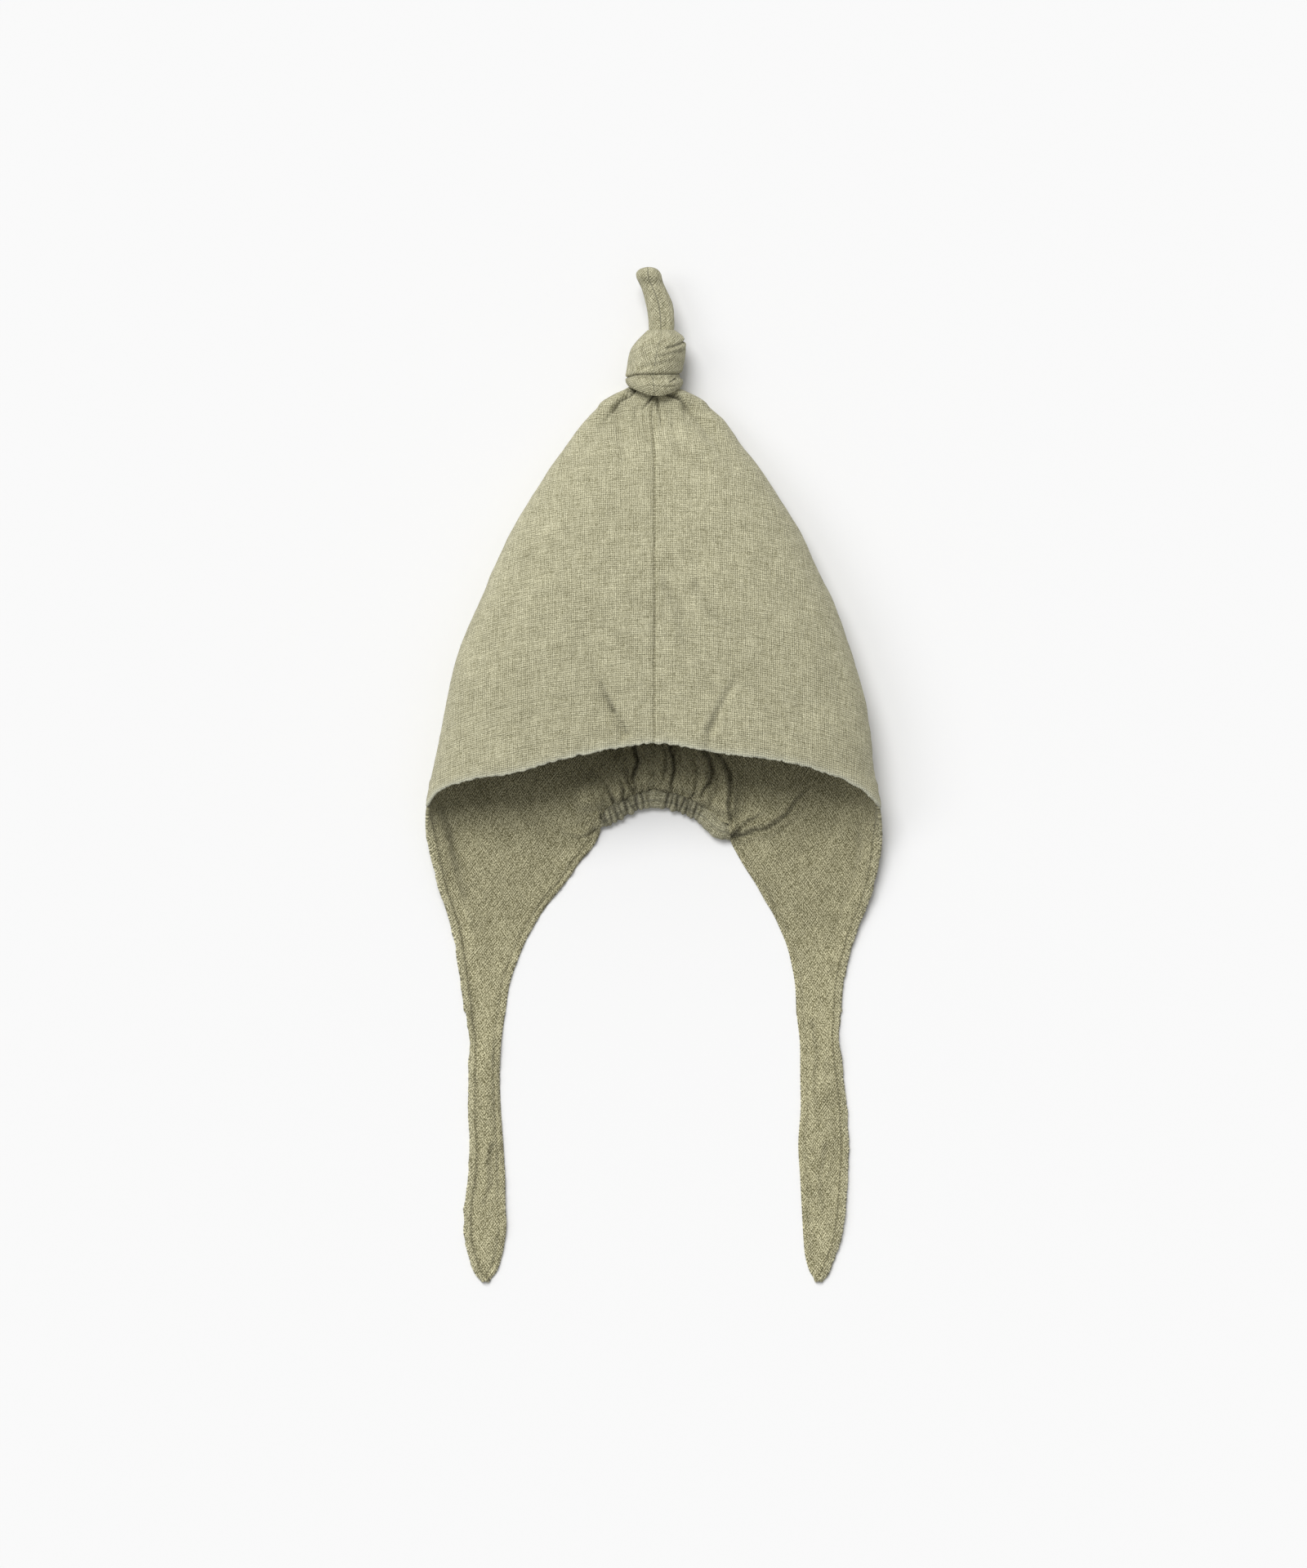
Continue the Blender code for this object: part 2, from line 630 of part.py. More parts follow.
def centre_on_origin(items):
    """Moves all pieces together, so that the middle of their footprint is at the origin."""
    corners = [point.co for item in items for point in item.data.vertices]
    low = Vector([min(corner[axis] for corner in corners) for axis in range(3)])
    high = Vector([max(corner[axis] for corner in corners) for axis in range(3)])
    shift = Vector((-(low.x + high.x) / 2, -(low.y + high.y) / 2, -low.z))
    for item in items:
        item.location = shift


def main():
    for item in list(bpy.data.objects):
        bpy.data.objects.remove(item, do_unlink=True)
    sage = cotton("sage_cotton", (0.43, 0.40, 0.27))
    shaded = cotton("gathered_cotton", (0.39, 0.365, 0.24))
    items = [crown_panel(side, sage) for side in (LEFT, RIGHT)]
    items += [tie(side, sage) for side in (LEFT, RIGHT)]
    items += [nape_casing(shaded), top_knot(sage), knot_tail(sage)]
    centre_on_origin(items)


main()
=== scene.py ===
"""Looks of the baby's pixie bonnet: crinkled sage cotton, lying flat, seen from straight above.

Metres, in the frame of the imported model. The cloth is made as fine grids from the same sizes and
tables as the solids, with the folds, hems and stitches that the solids leave out.
"""

import itertools
import math
from collections import namedtuple

import bmesh
import bpy
import numpy as np
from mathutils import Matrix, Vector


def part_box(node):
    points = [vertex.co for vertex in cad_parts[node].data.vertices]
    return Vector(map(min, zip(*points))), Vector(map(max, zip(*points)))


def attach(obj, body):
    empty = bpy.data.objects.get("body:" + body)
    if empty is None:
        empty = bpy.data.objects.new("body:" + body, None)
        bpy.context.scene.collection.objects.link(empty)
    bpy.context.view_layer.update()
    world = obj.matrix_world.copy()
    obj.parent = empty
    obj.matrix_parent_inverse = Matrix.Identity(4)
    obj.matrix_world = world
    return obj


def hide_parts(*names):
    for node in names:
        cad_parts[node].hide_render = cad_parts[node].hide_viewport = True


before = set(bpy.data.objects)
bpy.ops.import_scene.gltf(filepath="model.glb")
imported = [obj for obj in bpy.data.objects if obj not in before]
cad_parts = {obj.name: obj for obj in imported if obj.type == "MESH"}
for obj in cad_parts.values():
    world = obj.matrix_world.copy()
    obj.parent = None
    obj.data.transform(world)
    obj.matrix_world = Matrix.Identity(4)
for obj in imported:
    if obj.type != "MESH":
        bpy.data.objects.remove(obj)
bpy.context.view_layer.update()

MM = 0.001
LEFT = -1
RIGHT = 1

# Sizes of the hood, its flaps, ties and knot, as the solids have them
HOOD_WIDTH = 0.200
HOOD_LENGTH = 0.179
PUFF_HEIGHT = 0.042
SIDE_FOLD_HEIGHT = 0.015
SIDE_FOLD_SHARE = 0.26
ARCH_POWER = 2.4
FLAP_LENGTH = 0.092
TIE_LENGTH = 0.118
TIE_WIDTH = 0.0185
TIE_INSET = 0.026
TIE_LIFT = 0.0035
CASING_HEIGHT = 0.0075
CASING_THICKNESS = 0.0048
CASING_SPAN = 0.057
CASING_LEFT_SHARE = 0.42
NAPE_RISE = 0.0025
NAPE_DROP = 0.0145
KNOT_WIDTH = 0.0262
KNOT_LENGTH = 0.029
KNOT_DEPTH = 0.0225
NECK_HEIGHT = 0.0155
FOOT_SLOPE = 0.16
FOOT_LEAN = 0.20
NECK_SLOPE = 0.14
FOLD_SLOPE = 0.75
TAIL_LENGTH = 0.028
TAIL_WIDTH = 0.0118
TAIL_DEPTH = 0.0056
TAIL_LEAN = 0.0055

# How the hood's top goes into the knot: both are bent round each other more than in the solids
NECK_HALF_WIDTH = 9.6 * MM
NECK_FLARE = 0.022
TUCK_RISE = 3.8 * MM
TUCK_STRETCH = 0.03
KNOT_FOOT_RISE = 3.6 * MM

# Cloth, its hems and its threads. BAND_WIDTH is the raised band along the outer edge of a flap
WALL = 0.9 * MM
HEM_WALL = 1.7 * MM
HEM_WIDTH = 3.5 * MM
BAND_WIDTH = 9.5 * MM
SEAM_GAP = 0.16 * MM
THREAD_PITCH = 0.94 * MM
STITCH_PITCH = 1.5 * MM
STITCH_LINE = HEM_WIDTH - 0.6 * MM
STITCH_REACH = 0.52 * MM
THREAD_RADIUS = 0.21 * MM
FRONT_WALL = 1.3 * MM
FLOOR_GAP = 0.02 * MM
CURL_SHARE = 0.35
RIM_SHARE = 0.48
NAPE_PUFF = 6.8 * MM
GATHER_FULLNESS = 2.2
SWAY = 0.9 * MM
GRAIN_TURN = math.radians(20)
GRAIN_BEND = 1.6
KNOT_GRAIN_TURN = math.radians(32)
TAIL_GRAIN_TURN = math.radians(38)

# Colours of the cloth: thin threads, full threads, pits between them, and frayed edges
CLOTH_COLORS = ((0.290, 0.272, 0.165), (0.640, 0.610, 0.420), (0.130, 0.117, 0.060), (0.60, 0.61, 0.50))
# Warmer lining colour: painted bounce light from the cloth inside the hood
LINING_BOUNCE_TINT = (1.02, 1.0, 0.92)

# The Tone map holds how light the cloth is: its tone, which is TIE_TONE on the ties, times painted shade in
# creases, pinches, grooves and the hood's shadow, and a painted highlight on the left rim; and then one of
# these two
OUTSIDE = 0.0
LINING = 1.0
TIE_TONE = 0.89

# What differs between the panels: height of the bead at the inner edge, low on the flap and high up,
# in millimetres, painted shade of the valley beside the rim, painted highlight on the rim, tones (the
# flap's darker as painted shadow of the hood, the front's lighter on the right as painted light), and seed
# of the crumple
Look = namedtuple("Look", "bead_low bead_high valley_shade glow flap_tone front_tone seed")
LOOKS = {
    LEFT: Look(0.5, 1.5, 0.20, 0.20, 0.755, 1.00, 3),
    RIGHT: Look(0.3, 0.3, 0.05, 0.00, 0.735, 1.02, 5),
}

# Columns and rows of the grids, and the stretches of the hood that are fine
FRONT_COLUMNS = 130
FOLD_COLUMNS = 20
FLAT_COLUMNS = 44
GATHER_COLUMNS = 54
FINE_ROWS = 60
FINE_STRETCH = 0.034
COARSE_ROWS = 44
TOP_ROWS = 38
TOP_STRETCH = 0.024
FLAP_ROWS = 88
TIE_ROWS = 92
CORNER_COLUMNS = 9
CASING_RINGS, CASING_SIDES = 461, 40
KNOT_RINGS, KNOT_SIDES = 151, 240
TAIL_RINGS, TAIL_SIDES = 91, 96
STITCH_RINGS, STITCH_SIDES = 5, 6

HALF_WIDTH = HOOD_WIDTH / 2
NECK_MIDDLE = NECK_HEIGHT / 2
KNOT_MIDDLE = KNOT_DEPTH / 2
TIE_PLACE = HALF_WIDTH - TIE_INSET

# Where the middle and the lower corners of the hood lie in the photo, and what one pixel measures
PHOTO_WIDTH, PHOTO_HEIGHT = 1600, 1920
MIDDLE_COLUMN = 800.5
CORNER_ROW = 985
PIXEL = 0.36 * MM
CAMERA_HEIGHT = 2.4

# Place of the tables' zero point, in the middle between the hood's lower corners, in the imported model
left_low, left_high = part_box("crown_left")
right_low, right_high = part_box("crown_right")
SHIFT = np.array([(left_high[0] + right_low[0]) / 2, left_low[1] + FLAP_LENGTH, 0.0])


def rows(kind, *values):
    """Table of rows with named columns."""
    return [kind(*row) for row in values]


# up: share of HOOD_LENGTH above the lower corners
# left, right: half width as a share of half of HOOD_WIDTH
# height: top of the front as a share of PUFF_HEIGHT
Section = namedtuple("Section", "up left right height")
HOOD_SECTIONS = rows(
    Section,
    (0.00, 0.998, 0.994, 0.90),
    (0.09, 0.966, 0.962, 0.98),
    (0.17, 0.937, 0.948, 1.00),
    (0.25, 0.908, 0.926, 1.00),
    (0.33, 0.876, 0.890, 1.00),
    (0.41, 0.836, 0.844, 0.99),
    (0.49, 0.772, 0.793, 0.97),
    (0.57, 0.710, 0.718, 0.93),
    (0.65, 0.646, 0.653, 0.87),
    (0.73, 0.567, 0.574, 0.79),
    (0.81, 0.477, 0.487, 0.69),
    (0.89, 0.376, 0.373, 0.58),
    (0.94, 0.308, 0.305, 0.49),
    (0.98, 0.232, 0.224, 0.41),
)

# out: share of the half width; left, right: the edge as a share of HOOD_LENGTH above the corners
FrontEdge = namedtuple("FrontEdge", "out left right")
FRONT_EDGE = rows(
    FrontEdge,
    (0.00, 0.151, 0.151),
    (0.10, 0.145, 0.147),
    (0.22, 0.134, 0.133),
    (0.36, 0.119, 0.122),
    (0.50, 0.098, 0.115),
    (0.65, 0.076, 0.100),
    (0.80, 0.064, 0.074),
    (0.92, 0.045, 0.043),
    (0.97, 0.029, 0.016),
    (1.00, 0.000, -0.006),
)

# out: share of the casing's half span; left, right: fall of its middle as a share of NAPE_DROP
NapeLine = namedtuple("NapeLine", "out left right")
NAPE_LINE = rows(
    NapeLine,
    (0.00, 0.00, 0.00),
    (0.33, 0.13, 0.17),
    (0.66, 0.40, 0.52),
    (0.86, 0.59, 0.90),
    (1.00, 0.73, 1.00),
)

# up: place above the lower corners, across: where the front seam runs there, both in millimetres
SeamPoint = namedtuple("SeamPoint", "up across")
SEAM_LINE = rows(
    SeamPoint,
    (0.0, 0.0),
    (80.0, 0.2),
    (140.0, 0.2),
    (154.0, 0.1),
    (163.4, -1.0),
    (170.0, -1.5),
    (176.0, -0.7),
    (180.0, 1.2),
)

# down: share of FLAP_LENGTH; the four edges run from 0 at the root to 1 at the tie
# rim: height of the round edge as a share of SIDE_FOLD_HEIGHT. Once opened, it is RIM_SHARE of that
FlapSection = namedtuple("FlapSection", "down left_outer left_inner right_outer right_inner rim")
FLAP_SECTIONS = rows(
    FlapSection,
    (0.00, 0.00, 0.00, 0.00, 0.00, 1.00),
    (0.06, -0.04, 0.00, -0.04, 0.03, 0.97),
    (0.14, 0.02, 0.08, -0.02, 0.14, 0.90),
    (0.22, 0.10, 0.22, 0.02, 0.27, 0.80),
    (0.30, 0.20, 0.33, 0.09, 0.41, 0.67),
    (0.38, 0.30, 0.46, 0.18, 0.53, 0.53),
    (0.46, 0.43, 0.59, 0.31, 0.66, 0.38),
    (0.54, 0.59, 0.69, 0.49, 0.76, 0.26),
    (0.62, 0.70, 0.78, 0.64, 0.85, 0.17),
    (0.70, 0.78, 0.85, 0.76, 0.91, 0.10),
    (0.84, 0.89, 0.95, 0.93, 0.98, 0.04),
    (1.00, 1.00, 1.00, 1.00, 1.00, 0.03),
)

# down: share of TIE_LENGTH; middle: shift out from TIE_PLACE, width: both as shares of TIE_WIDTH
# lift: height of the middle, roll: rise of the right edge over the left, as shares of TIE_LIFT
TieSection = namedtuple("TieSection", "down left_middle left_width right_middle right_width lift roll")
TIE_SECTIONS = rows(
    TieSection,
    (0.00, 0.02, 0.92, -0.08, 1.02, 0.10, 0.15),
    (0.12, 0.01, 0.76, -0.06, 0.95, 0.35, 0.20),
    (0.24, 0.02, 0.71, -0.02, 1.01, 0.60, 0.05),
    (0.36, 0.01, 0.73, 0.02, 1.07, 0.70, -0.10),
    (0.49, -0.03, 0.78, 0.02, 1.19, 0.45, -0.05),
    (0.61, -0.04, 0.86, 0.03, 1.13, 0.20, 0.10),
    (0.73, 0.01, 0.99, 0.03, 1.05, 0.10, 0.20),
    (0.79, 0.00, 1.01, 0.01, 0.97, 0.15, 0.20),
    (0.85, 0.01, 0.95, -0.01, 0.88, 0.25, 0.10),
    (0.91, 0.00, 0.78, -0.06, 0.70, 0.25, 0.00),
    (0.97, 0.00, 0.51, -0.08, 0.43, 0.15, 0.00),
    (1.00, 0.00, 0.14, -0.08, 0.12, 0.10, 0.00),
)

# Rings of the knot and the tail. up: share of the length; width, depth: shares of the knot's or tail's own
# shift: middle across, as a share of KNOT_WIDTH for the knot and of TAIL_LEAN for the tail
Ring = namedtuple("Ring", "up shift width depth")
KNOT_PROFILE = rows(
    Ring,
    (0.00, 0.02, 0.88, 0.80),
    (0.07, 0.01, 0.95, 0.90),
    (0.18, 0.00, 0.96, 0.95),
    (0.27, -0.01, 0.89, 0.88),
    (0.35, -0.01, 0.91, 0.93),
    (0.50, 0.03, 0.94, 1.00),
    (0.62, 0.05, 0.94, 1.00),
    (0.74, 0.08, 0.90, 0.95),
    (0.86, 0.12, 0.78, 0.82),
    (0.94, 0.13, 0.62, 0.66),
    (1.00, 0.12, 0.46, 0.42),
)

TAIL_PROFILE = rows(
    Ring,
    (0.00, 0.00, 0.92, 0.85),
    (0.20, 0.02, 0.96, 0.95),
    (0.45, 0.22, 0.99, 1.00),
    (0.66, 0.60, 0.90, 0.86),
    (0.76, 0.82, 0.91, 0.80),
    (0.84, 0.95, 0.94, 1.05),
    (0.90, 1.00, 0.92, 1.02),
    (0.95, 1.00, 0.76, 0.90),
    (0.985, 0.99, 0.48, 0.60),
    (1.00, 0.98, 0.16, 0.22),
)

# Creases, in millimetres: points run (across, up) from the middle between the lower corners
# start, end: strength at the first and last point
# step: how much higher the cloth lies on the left of the crease's run
# shade: how much the cloth down in the crease is darkened, as shade painted into its colour
Crease = namedtuple("Crease", "points depth width start end step shade", defaults=(0.0, 0.25))
FRONT_CREASES = rows(
    Crease,
    (((-7.1, 184.7), (-10.6, 179.6), (-14.2, 177.1), (-16.9, 174.6), (-20, 171), (-24, 165.6)),
     2.3, 0.75, 1, 0, -2.2, 0.62),
    (((0.2, 179.5), (-2.2, 176.2), (-4.9, 173.3)), 1.6, 0.6, 1, 0.5, 0.8, 0.6),
    (((1.1, 179.8), (1.6, 176.4), (1.9, 173.7), (2.9, 169.5), (3.4, 163)), 1.8, 0.85, 1, 0, -0.4, 0.45),
    (((5, 180.6), (8.5, 179.3), (11.2, 178), (12.6, 176.6), (14.2, 174.2), (16.4, 171.7),
     (21.8, 166), (25.7, 158.8)), 2.3, 0.75, 1, 0, 2.2, 0.62),
    (((-7.6, 173.5), (-8, 168.5), (-9.4, 161)), 0.9, 1.5, 0.5, 0, 0.4, 0.25),
    (((-16, 172), (-13, 160), (-12.6, 148), (-14, 138)), 1.6, 2.8, 0.8, 0, 0.6, 0.1),
    (((15, 173), (22, 166), (30, 156), (38, 142)), 1.9, 3.6, 1, 0, 0.8, 0.1),
    (((-18, 172), (-26, 164), (-35, 152), (-44, 134)), 1.4, 3.6, 0.9, 0, -0.8, 0.1),
    (((8, 172), (10, 160), (11, 148)), 0.8, 2.2, 0.8, 0, 0, 0.1),
    (((-29.6, 74), (-26.6, 62), (-23.9, 53.3), (-20, 44.5), (-16, 37), (-12.6, 31)),
     2, 1.9, 0, 1, 1.5, 0.14),
    (((-23.4, 53), (-21, 47), (-18.8, 43), (-17.2, 39.8)), 1.7, 0.75, 0.3, 1, 0.6, 0.5),
    (((38, 58), (33, 50), (28.4, 41.5), (24.3, 32)), 1.6, 2, 0.1, 0.9, -1.4, 0.12),
    (((18, 96), (24, 84), (34, 76)), 0.9, 2.6, 0.6, 0.3),
    (((4, 96), (10, 86), (13, 70)), 0.9, 2.5, 0.6, 0.4),
    (((-60, 84), (-72, 70), (-80, 50)), 0.8, 4, 0.5, 0.3, 0, 0),
    (((62, 90), (74, 70), (82, 48)), 0.8, 4, 0.5, 0.3, 0, 0),
)
NAPE_CREASES = rows(
    Crease,
    (((-9.6, 30), (-7.6, 22), (-6.8, 19), (-8.3, 15), (-9.4, 11.5), (-8.2, 8.5), (-7.6, 5)),
     4.8, 0.9, 1, 0.5, 2, 0.5),
    (((-6.2, 21), (-5, 18), (-5.6, 14), (-7.6, 11)), 2.2, 0.7, 0.4, 0.2, 0.8, 0.3),
    (((-16.2, 16), (-15.7, 12.6), (-14.2, 9), (-13.2, 6.4), (-13.8, 1.2)), 3.8, 0.7, 0.1, 1, 1.3, 0.5),
    (((-12.6, 17.5), (-11.3, 14), (-11.6, 10.8), (-10, 7.6), (-8.8, 5.6)), 3.2, 0.65, 0.2, 1, 0.8, 0.5),
    (((-25.5, 14.5), (-23, 11.8), (-20.8, 8.8), (-19.3, 5), (-17.5, 0.5)), 2.8, 1, 0.1, 0.9, 1.2, 0.35),
    (((-22, 18), (-19, 14.5), (-17.5, 10), (-16.6, 5.4)), 1.6, 1.1, 0.1, 0.8, 0.9, 0.2),
    (((3.4, 28), (5.4, 22), (5.6, 17.4), (4.4, 13), (4.2, 8.6)), 3.2, 0.7, 1, 0.3, 1.2, 0.4),
    (((1.4, 14), (2.6, 11.4), (2.9, 8.8)), 1.4, 0.6, 0.1, 1, 0.4, 0.3),
    (((6.4, 27), (8.4, 20.2), (8.8, 15), (7.4, 9), (7.6, 5.4)), 4.4, 0.75, 1, 0.7, -1.9, 0.55),
    (((18.6, 22), (18.3, 17.4), (19.4, 13.2), (18.2, 9), (17.9, 5.4), (16, 2.4)),
     3, 0.65, 0.1, 1, -1.2, 0.5),
    (((14.6, 17), (15.4, 12.4), (14.8, 8.4), (14.9, 4.6)), 1.8, 0.9, 0.1, 1, 0.7, 0.25),
    (((21, 26), (24.4, 20.2), (25.4, 15.2), (24.8, 10.2), (22, 6.6), (20.6, 3.2)),
     4, 0.8, 1, 0.6, -1.9, 0.45),
    (((27.6, 16), (28.6, 10.6), (27.4, 5), (24.6, 0.6), (23.4, -2)), 1.8, 1, 0.1, 0.8, -0.9, 0.2),
    (((24.5, 27), (30, 20.4), (33.2, 13.4), (33.8, 6.8), (33, 0), (33.8, -6), (34.4, -13)),
     5, 1, 0.9, 0.8, -2.4, 0.5),
    (((-33, 14), (-30.8, 7.6), (-29.7, 1.8), (-28.8, -4)), 2, 1.9, 0.2, 0.7, 0.8, 0.15),
    (((-26.4, 4.5), (-24.6, 0.5), (-22.8, -3)), 1.2, 0.9, 0.1, 0.8, 0, 0.3),
    (((-20.4, 8.6), (-19, 4.4), (-17.6, 1)), 2, 0.7, 0.1, 1, 0.3, 0.5),
    (((12.2, 10.6), (12.6, 7.6), (13.2, 4.2)), 2, 0.7, 0, 1, 0, 0.4),
    (((16.2, 8), (15.9, 5.6), (15.4, 3.2)), 1.8, 0.55, 0, 1, 0, 0.5),
    (((10, 10), (10.2, 7.4), (10.4, 5)), 1.5, 0.55, 0, 1, 0, 0.35),
    (((21.8, 2.4), (22.2, -0.6), (21.6, -4)), 1.6, 0.7, 0, 1, 0, 0.4),
    (((-1.6, 11), (-1.9, 8.8), (-2, 6.2)), 1.2, 0.7, 0, 1, 0, 0.3),
    (((-4.9, 10), (-5.1, 8), (-4.9, 5.6)), 1.5, 0.65, 0, 1, 0, 0.4),
    (((5.2, 10.5), (5.7, 8), (5.8, 5.4)), 1.6, 0.6, 0, 1, 0, 0.5),
    (((37.8, -10), (35.6, -3), (36.2, 4), (33.8, 12)), 1.4, 2.2, 0.8, 0.3, 1.2, 0.1),
)
FLAP_CREASES = rows(
    Crease,
    (((-43, -11), (-38, -13.6), (-33, -14.8), (-28.6, -13.4), (-25.4, -10.5)), 1.9, 0.75, 0.2, 1, 1, 0.5),
    (((33.4, -14.6), (38, -13.6), (44.6, -11.5), (48.6, -11), (52.7, -8.8), (58.7, -4.5), (62, 0.6),
     (64.6, 3.6), (68.9, 8)), 3.4, 1.2, 1, 0.3, 2.2, 0.6),
    (((34, -13.8), (38, -10.6), (41.9, -7.2), (44, -6.6), (46.8, -4.6)), 2.6, 0.9, 1, 0.3, 1.4, 0.55),
    (((50, -36), (53, -46), (54, -52)), 0.8, 1.2, 0.4, 0.8, 0, 0.25),
    (((40, -22), (46, -27), (50, -33)), 0.7, 2, 0.5, 0.5, 0, 0),
)
TIE_CREASES = rows(
    Crease,
    (((-71, -150), (-72.6, -158), (-71.6, -168), (-74.5, -176)), 1.5, 1.3, 0.9, 0.5, 0.5, 0.4),
    (((-69, -104), (-70.5, -112), (-68.5, -120)), 0.8, 1, 0.8, 0.4),
    (((-78, -120), (-76, -132), (-77, -142)), 0.8, 1.2, 0.6, 0.4),
    (((70, -96), (72.5, -110), (71, -124), (73, -140)), 1.1, 1.3, 0.8, 0.5),
    (((76, -150), (73.5, -166), (75, -180)), 0.9, 1.3, 0.7, 0.5),
)

# Pinches of the casing, in millimetres: place across, depth, lean over the casing's height, and width
Pinch = namedtuple("Pinch", "across depth lean width")
PINCHES = rows(
    Pinch,
    (-22.6, 0.7, 0.5, 0.5), (-21.1, 1.0, 0.8, 0.6), (-18.9, 0.9, 0.6, 0.6),
    (-16.6, 1.0, 0.7, 0.7), (-14.3, 0.7, 0.2, 0.6), (-12.2, 1.0, 0.5, 0.7),
    (-10.0, 0.8, -0.2, 0.6), (-7.5, 1.1, 0.4, 0.7), (-4.9, 0.9, 0.0, 0.6),
    (-2.2, 0.6, 0.3, 0.6), (0.6, 0.25, -0.2, 0.6), (3.2, 0.35, 0.1, 0.7),
    (5.8, 1.1, -0.3, 0.7), (7.7, 0.7, 0.2, 0.5), (10.4, 1.0, -0.6, 0.7),
    (12.5, 0.8, -0.3, 0.6), (14.5, 1.1, -0.7, 0.7), (16.3, 0.7, -0.4, 0.5),
    (18.2, 1.0, -0.8, 0.7), (20.2, 0.6, -0.5, 0.6), (22.6, 0.3, -0.4, 0.8),
)

# Creases of the knot: turn is a share of a turn from the front toward the right, up a share of its
# length. depth, width and step, the swell of the wrap above it, are in millimetres
KnotCrease = namedtuple("KnotCrease", "turn_from up_from turn_to up_to depth width step")
KNOT_CREASES = rows(
    KnotCrease,
    (-0.50, 0.30, -0.24, 0.25, 0.5, 0.55, 0.4),
    (-0.24, 0.25, -0.11, 0.33, 0.7, 0.42, 0.6),
    (-0.11, 0.33, 0.22, 0.345, 0.8, 0.40, 0.9),
    (0.22, 0.345, 0.50, 0.335, 0.6, 0.50, 0.5),
    (0.06, 0.70, 0.20, 0.82, 0.7, 0.7, 0.7),
    (0.20, 0.82, 0.26, 0.86, 1.2, 0.5, 0.5),
    (0.00, 0.56, 0.24, 0.72, 0.35, 1.0, 0.5),
    (-0.08, 0.42, 0.10, 0.52, 0.28, 0.9, 0.25),
    (-0.22, 0.47, -0.08, 0.62, 0.25, 1.2, 0.25),
    (-0.20, 0.62, 0.02, 0.80, 0.25, 1.0, 0.25),
    (-0.02, 0.17, 0.13, 0.10, 0.3, 0.5, 0.3),
    (0.10, 0.20, 0.155, 0.245, 0.9, 0.45, 0.3),
    (0.24, 0.86, 0.45, 0.70, 1.0, 0.9, 0.5),
    (0.30, 0.45, 0.50, 0.55, 0.9, 1.0, 0.4),
    (-0.50, 0.55, -0.30, 0.70, 0.9, 1.0, 0.4),
    (-0.45, 0.12, -0.25, 0.16, 0.6, 0.8, 0.3),
)


def read(table, name, at):
    """Values of a column at places along the first column, on a smooth curve through the rows."""
    places = np.array([row[0] for row in table], float)
    values = np.array([getattr(row, name) for row in table], float)
    before = np.maximum(np.arange(len(places)) - 1, 0)
    after = np.minimum(np.arange(len(places)) + 1, len(places) - 1)
    slopes = (values[after] - values[before]) / (places[after] - places[before])
    at = np.clip(at, places[0], places[-1])
    low = np.clip(np.searchsorted(places, at, side="right") - 1, 0, len(places) - 2)
    span = places[low + 1] - places[low]
    share = (at - places[low]) / span
    start = slopes[low] * span
    end = slopes[low + 1] * span
    rise = values[low + 1] - values[low]
    curve = start * share * (1 - share) ** 2 - end * share**2 * (1 - share)
    return values[low] + rise * share**2 * (3 - 2 * share) + curve


def mix(start, end, share):
    return start + (end - start) * share


def ease(share):
    """0 to 1 with a soft start and a soft end."""
    share = np.clip(share, 0.0, 1.0)
    return share * share * (3 - 2 * share)


def between(value, start, stop):
    """0 up to start and 1 from stop on, both in millimetres, with a soft rise between them."""
    return ease((value - start * MM) / ((stop - start) * MM))


def bell(away, width):
    """1 in the middle, and falling to nothing on both sides over about twice the width."""
    return np.exp(-((away / width) ** 2))


def stacked(*values):
    """Values of points, one array each, as a last axis."""
    return np.stack(np.broadcast_arrays(*values), axis=-1)


def walk(points, axis):
    """Distance walked along one axis of a grid of points."""
    steps = np.linalg.norm(np.diff(points, axis=axis), axis=-1)
    walked = np.cumsum(steps, axis=axis)
    return np.concatenate([np.zeros_like(np.take(walked, [0], axis=axis)), walked], axis=axis)


def hand(side):
    return "left" if side == LEFT else "right"


def noise(points, size, seed):
    """Smooth value noise from -1 to 1 at 3-D points, the same on every run."""
    place = points / size + seed * 7.31
    cell = np.floor(place).astype(np.int64)
    inside = place - cell
    inside = inside * inside * (3 - 2 * inside)
    total = np.zeros(points.shape[:-1])
    for corner in itertools.product((0, 1), repeat=3):
        at = cell + np.array(corner)
        key = (at[..., 0] * 73856093) ^ (at[..., 1] * 19349663) ^ (at[..., 2] * 83492791)
        key = (key * 1103515245 + 12345) & 0x7FFFFFFF
        key = (key ^ (key >> 13)) * 1274126177 & 0x7FFFFFFF
        weight = np.prod(np.where(np.array(corner) == 1, inside, 1 - inside), axis=-1)
        total += weight * (key / 0x7FFFFFFF * 2 - 1)
    return total


def crumple(points, seed):
    """Soft unevenness of crinkled cloth, in metres."""
    broad = noise(points, 26 * MM, seed) * 0.55
    middle = noise(points * (1, 1.5, 1), 9 * MM, seed + 1) * 0.22
    fine = noise(points * (1, 1.8, 1), 3.2 * MM, seed + 2) * 0.10
    return (broad + middle + fine) * MM


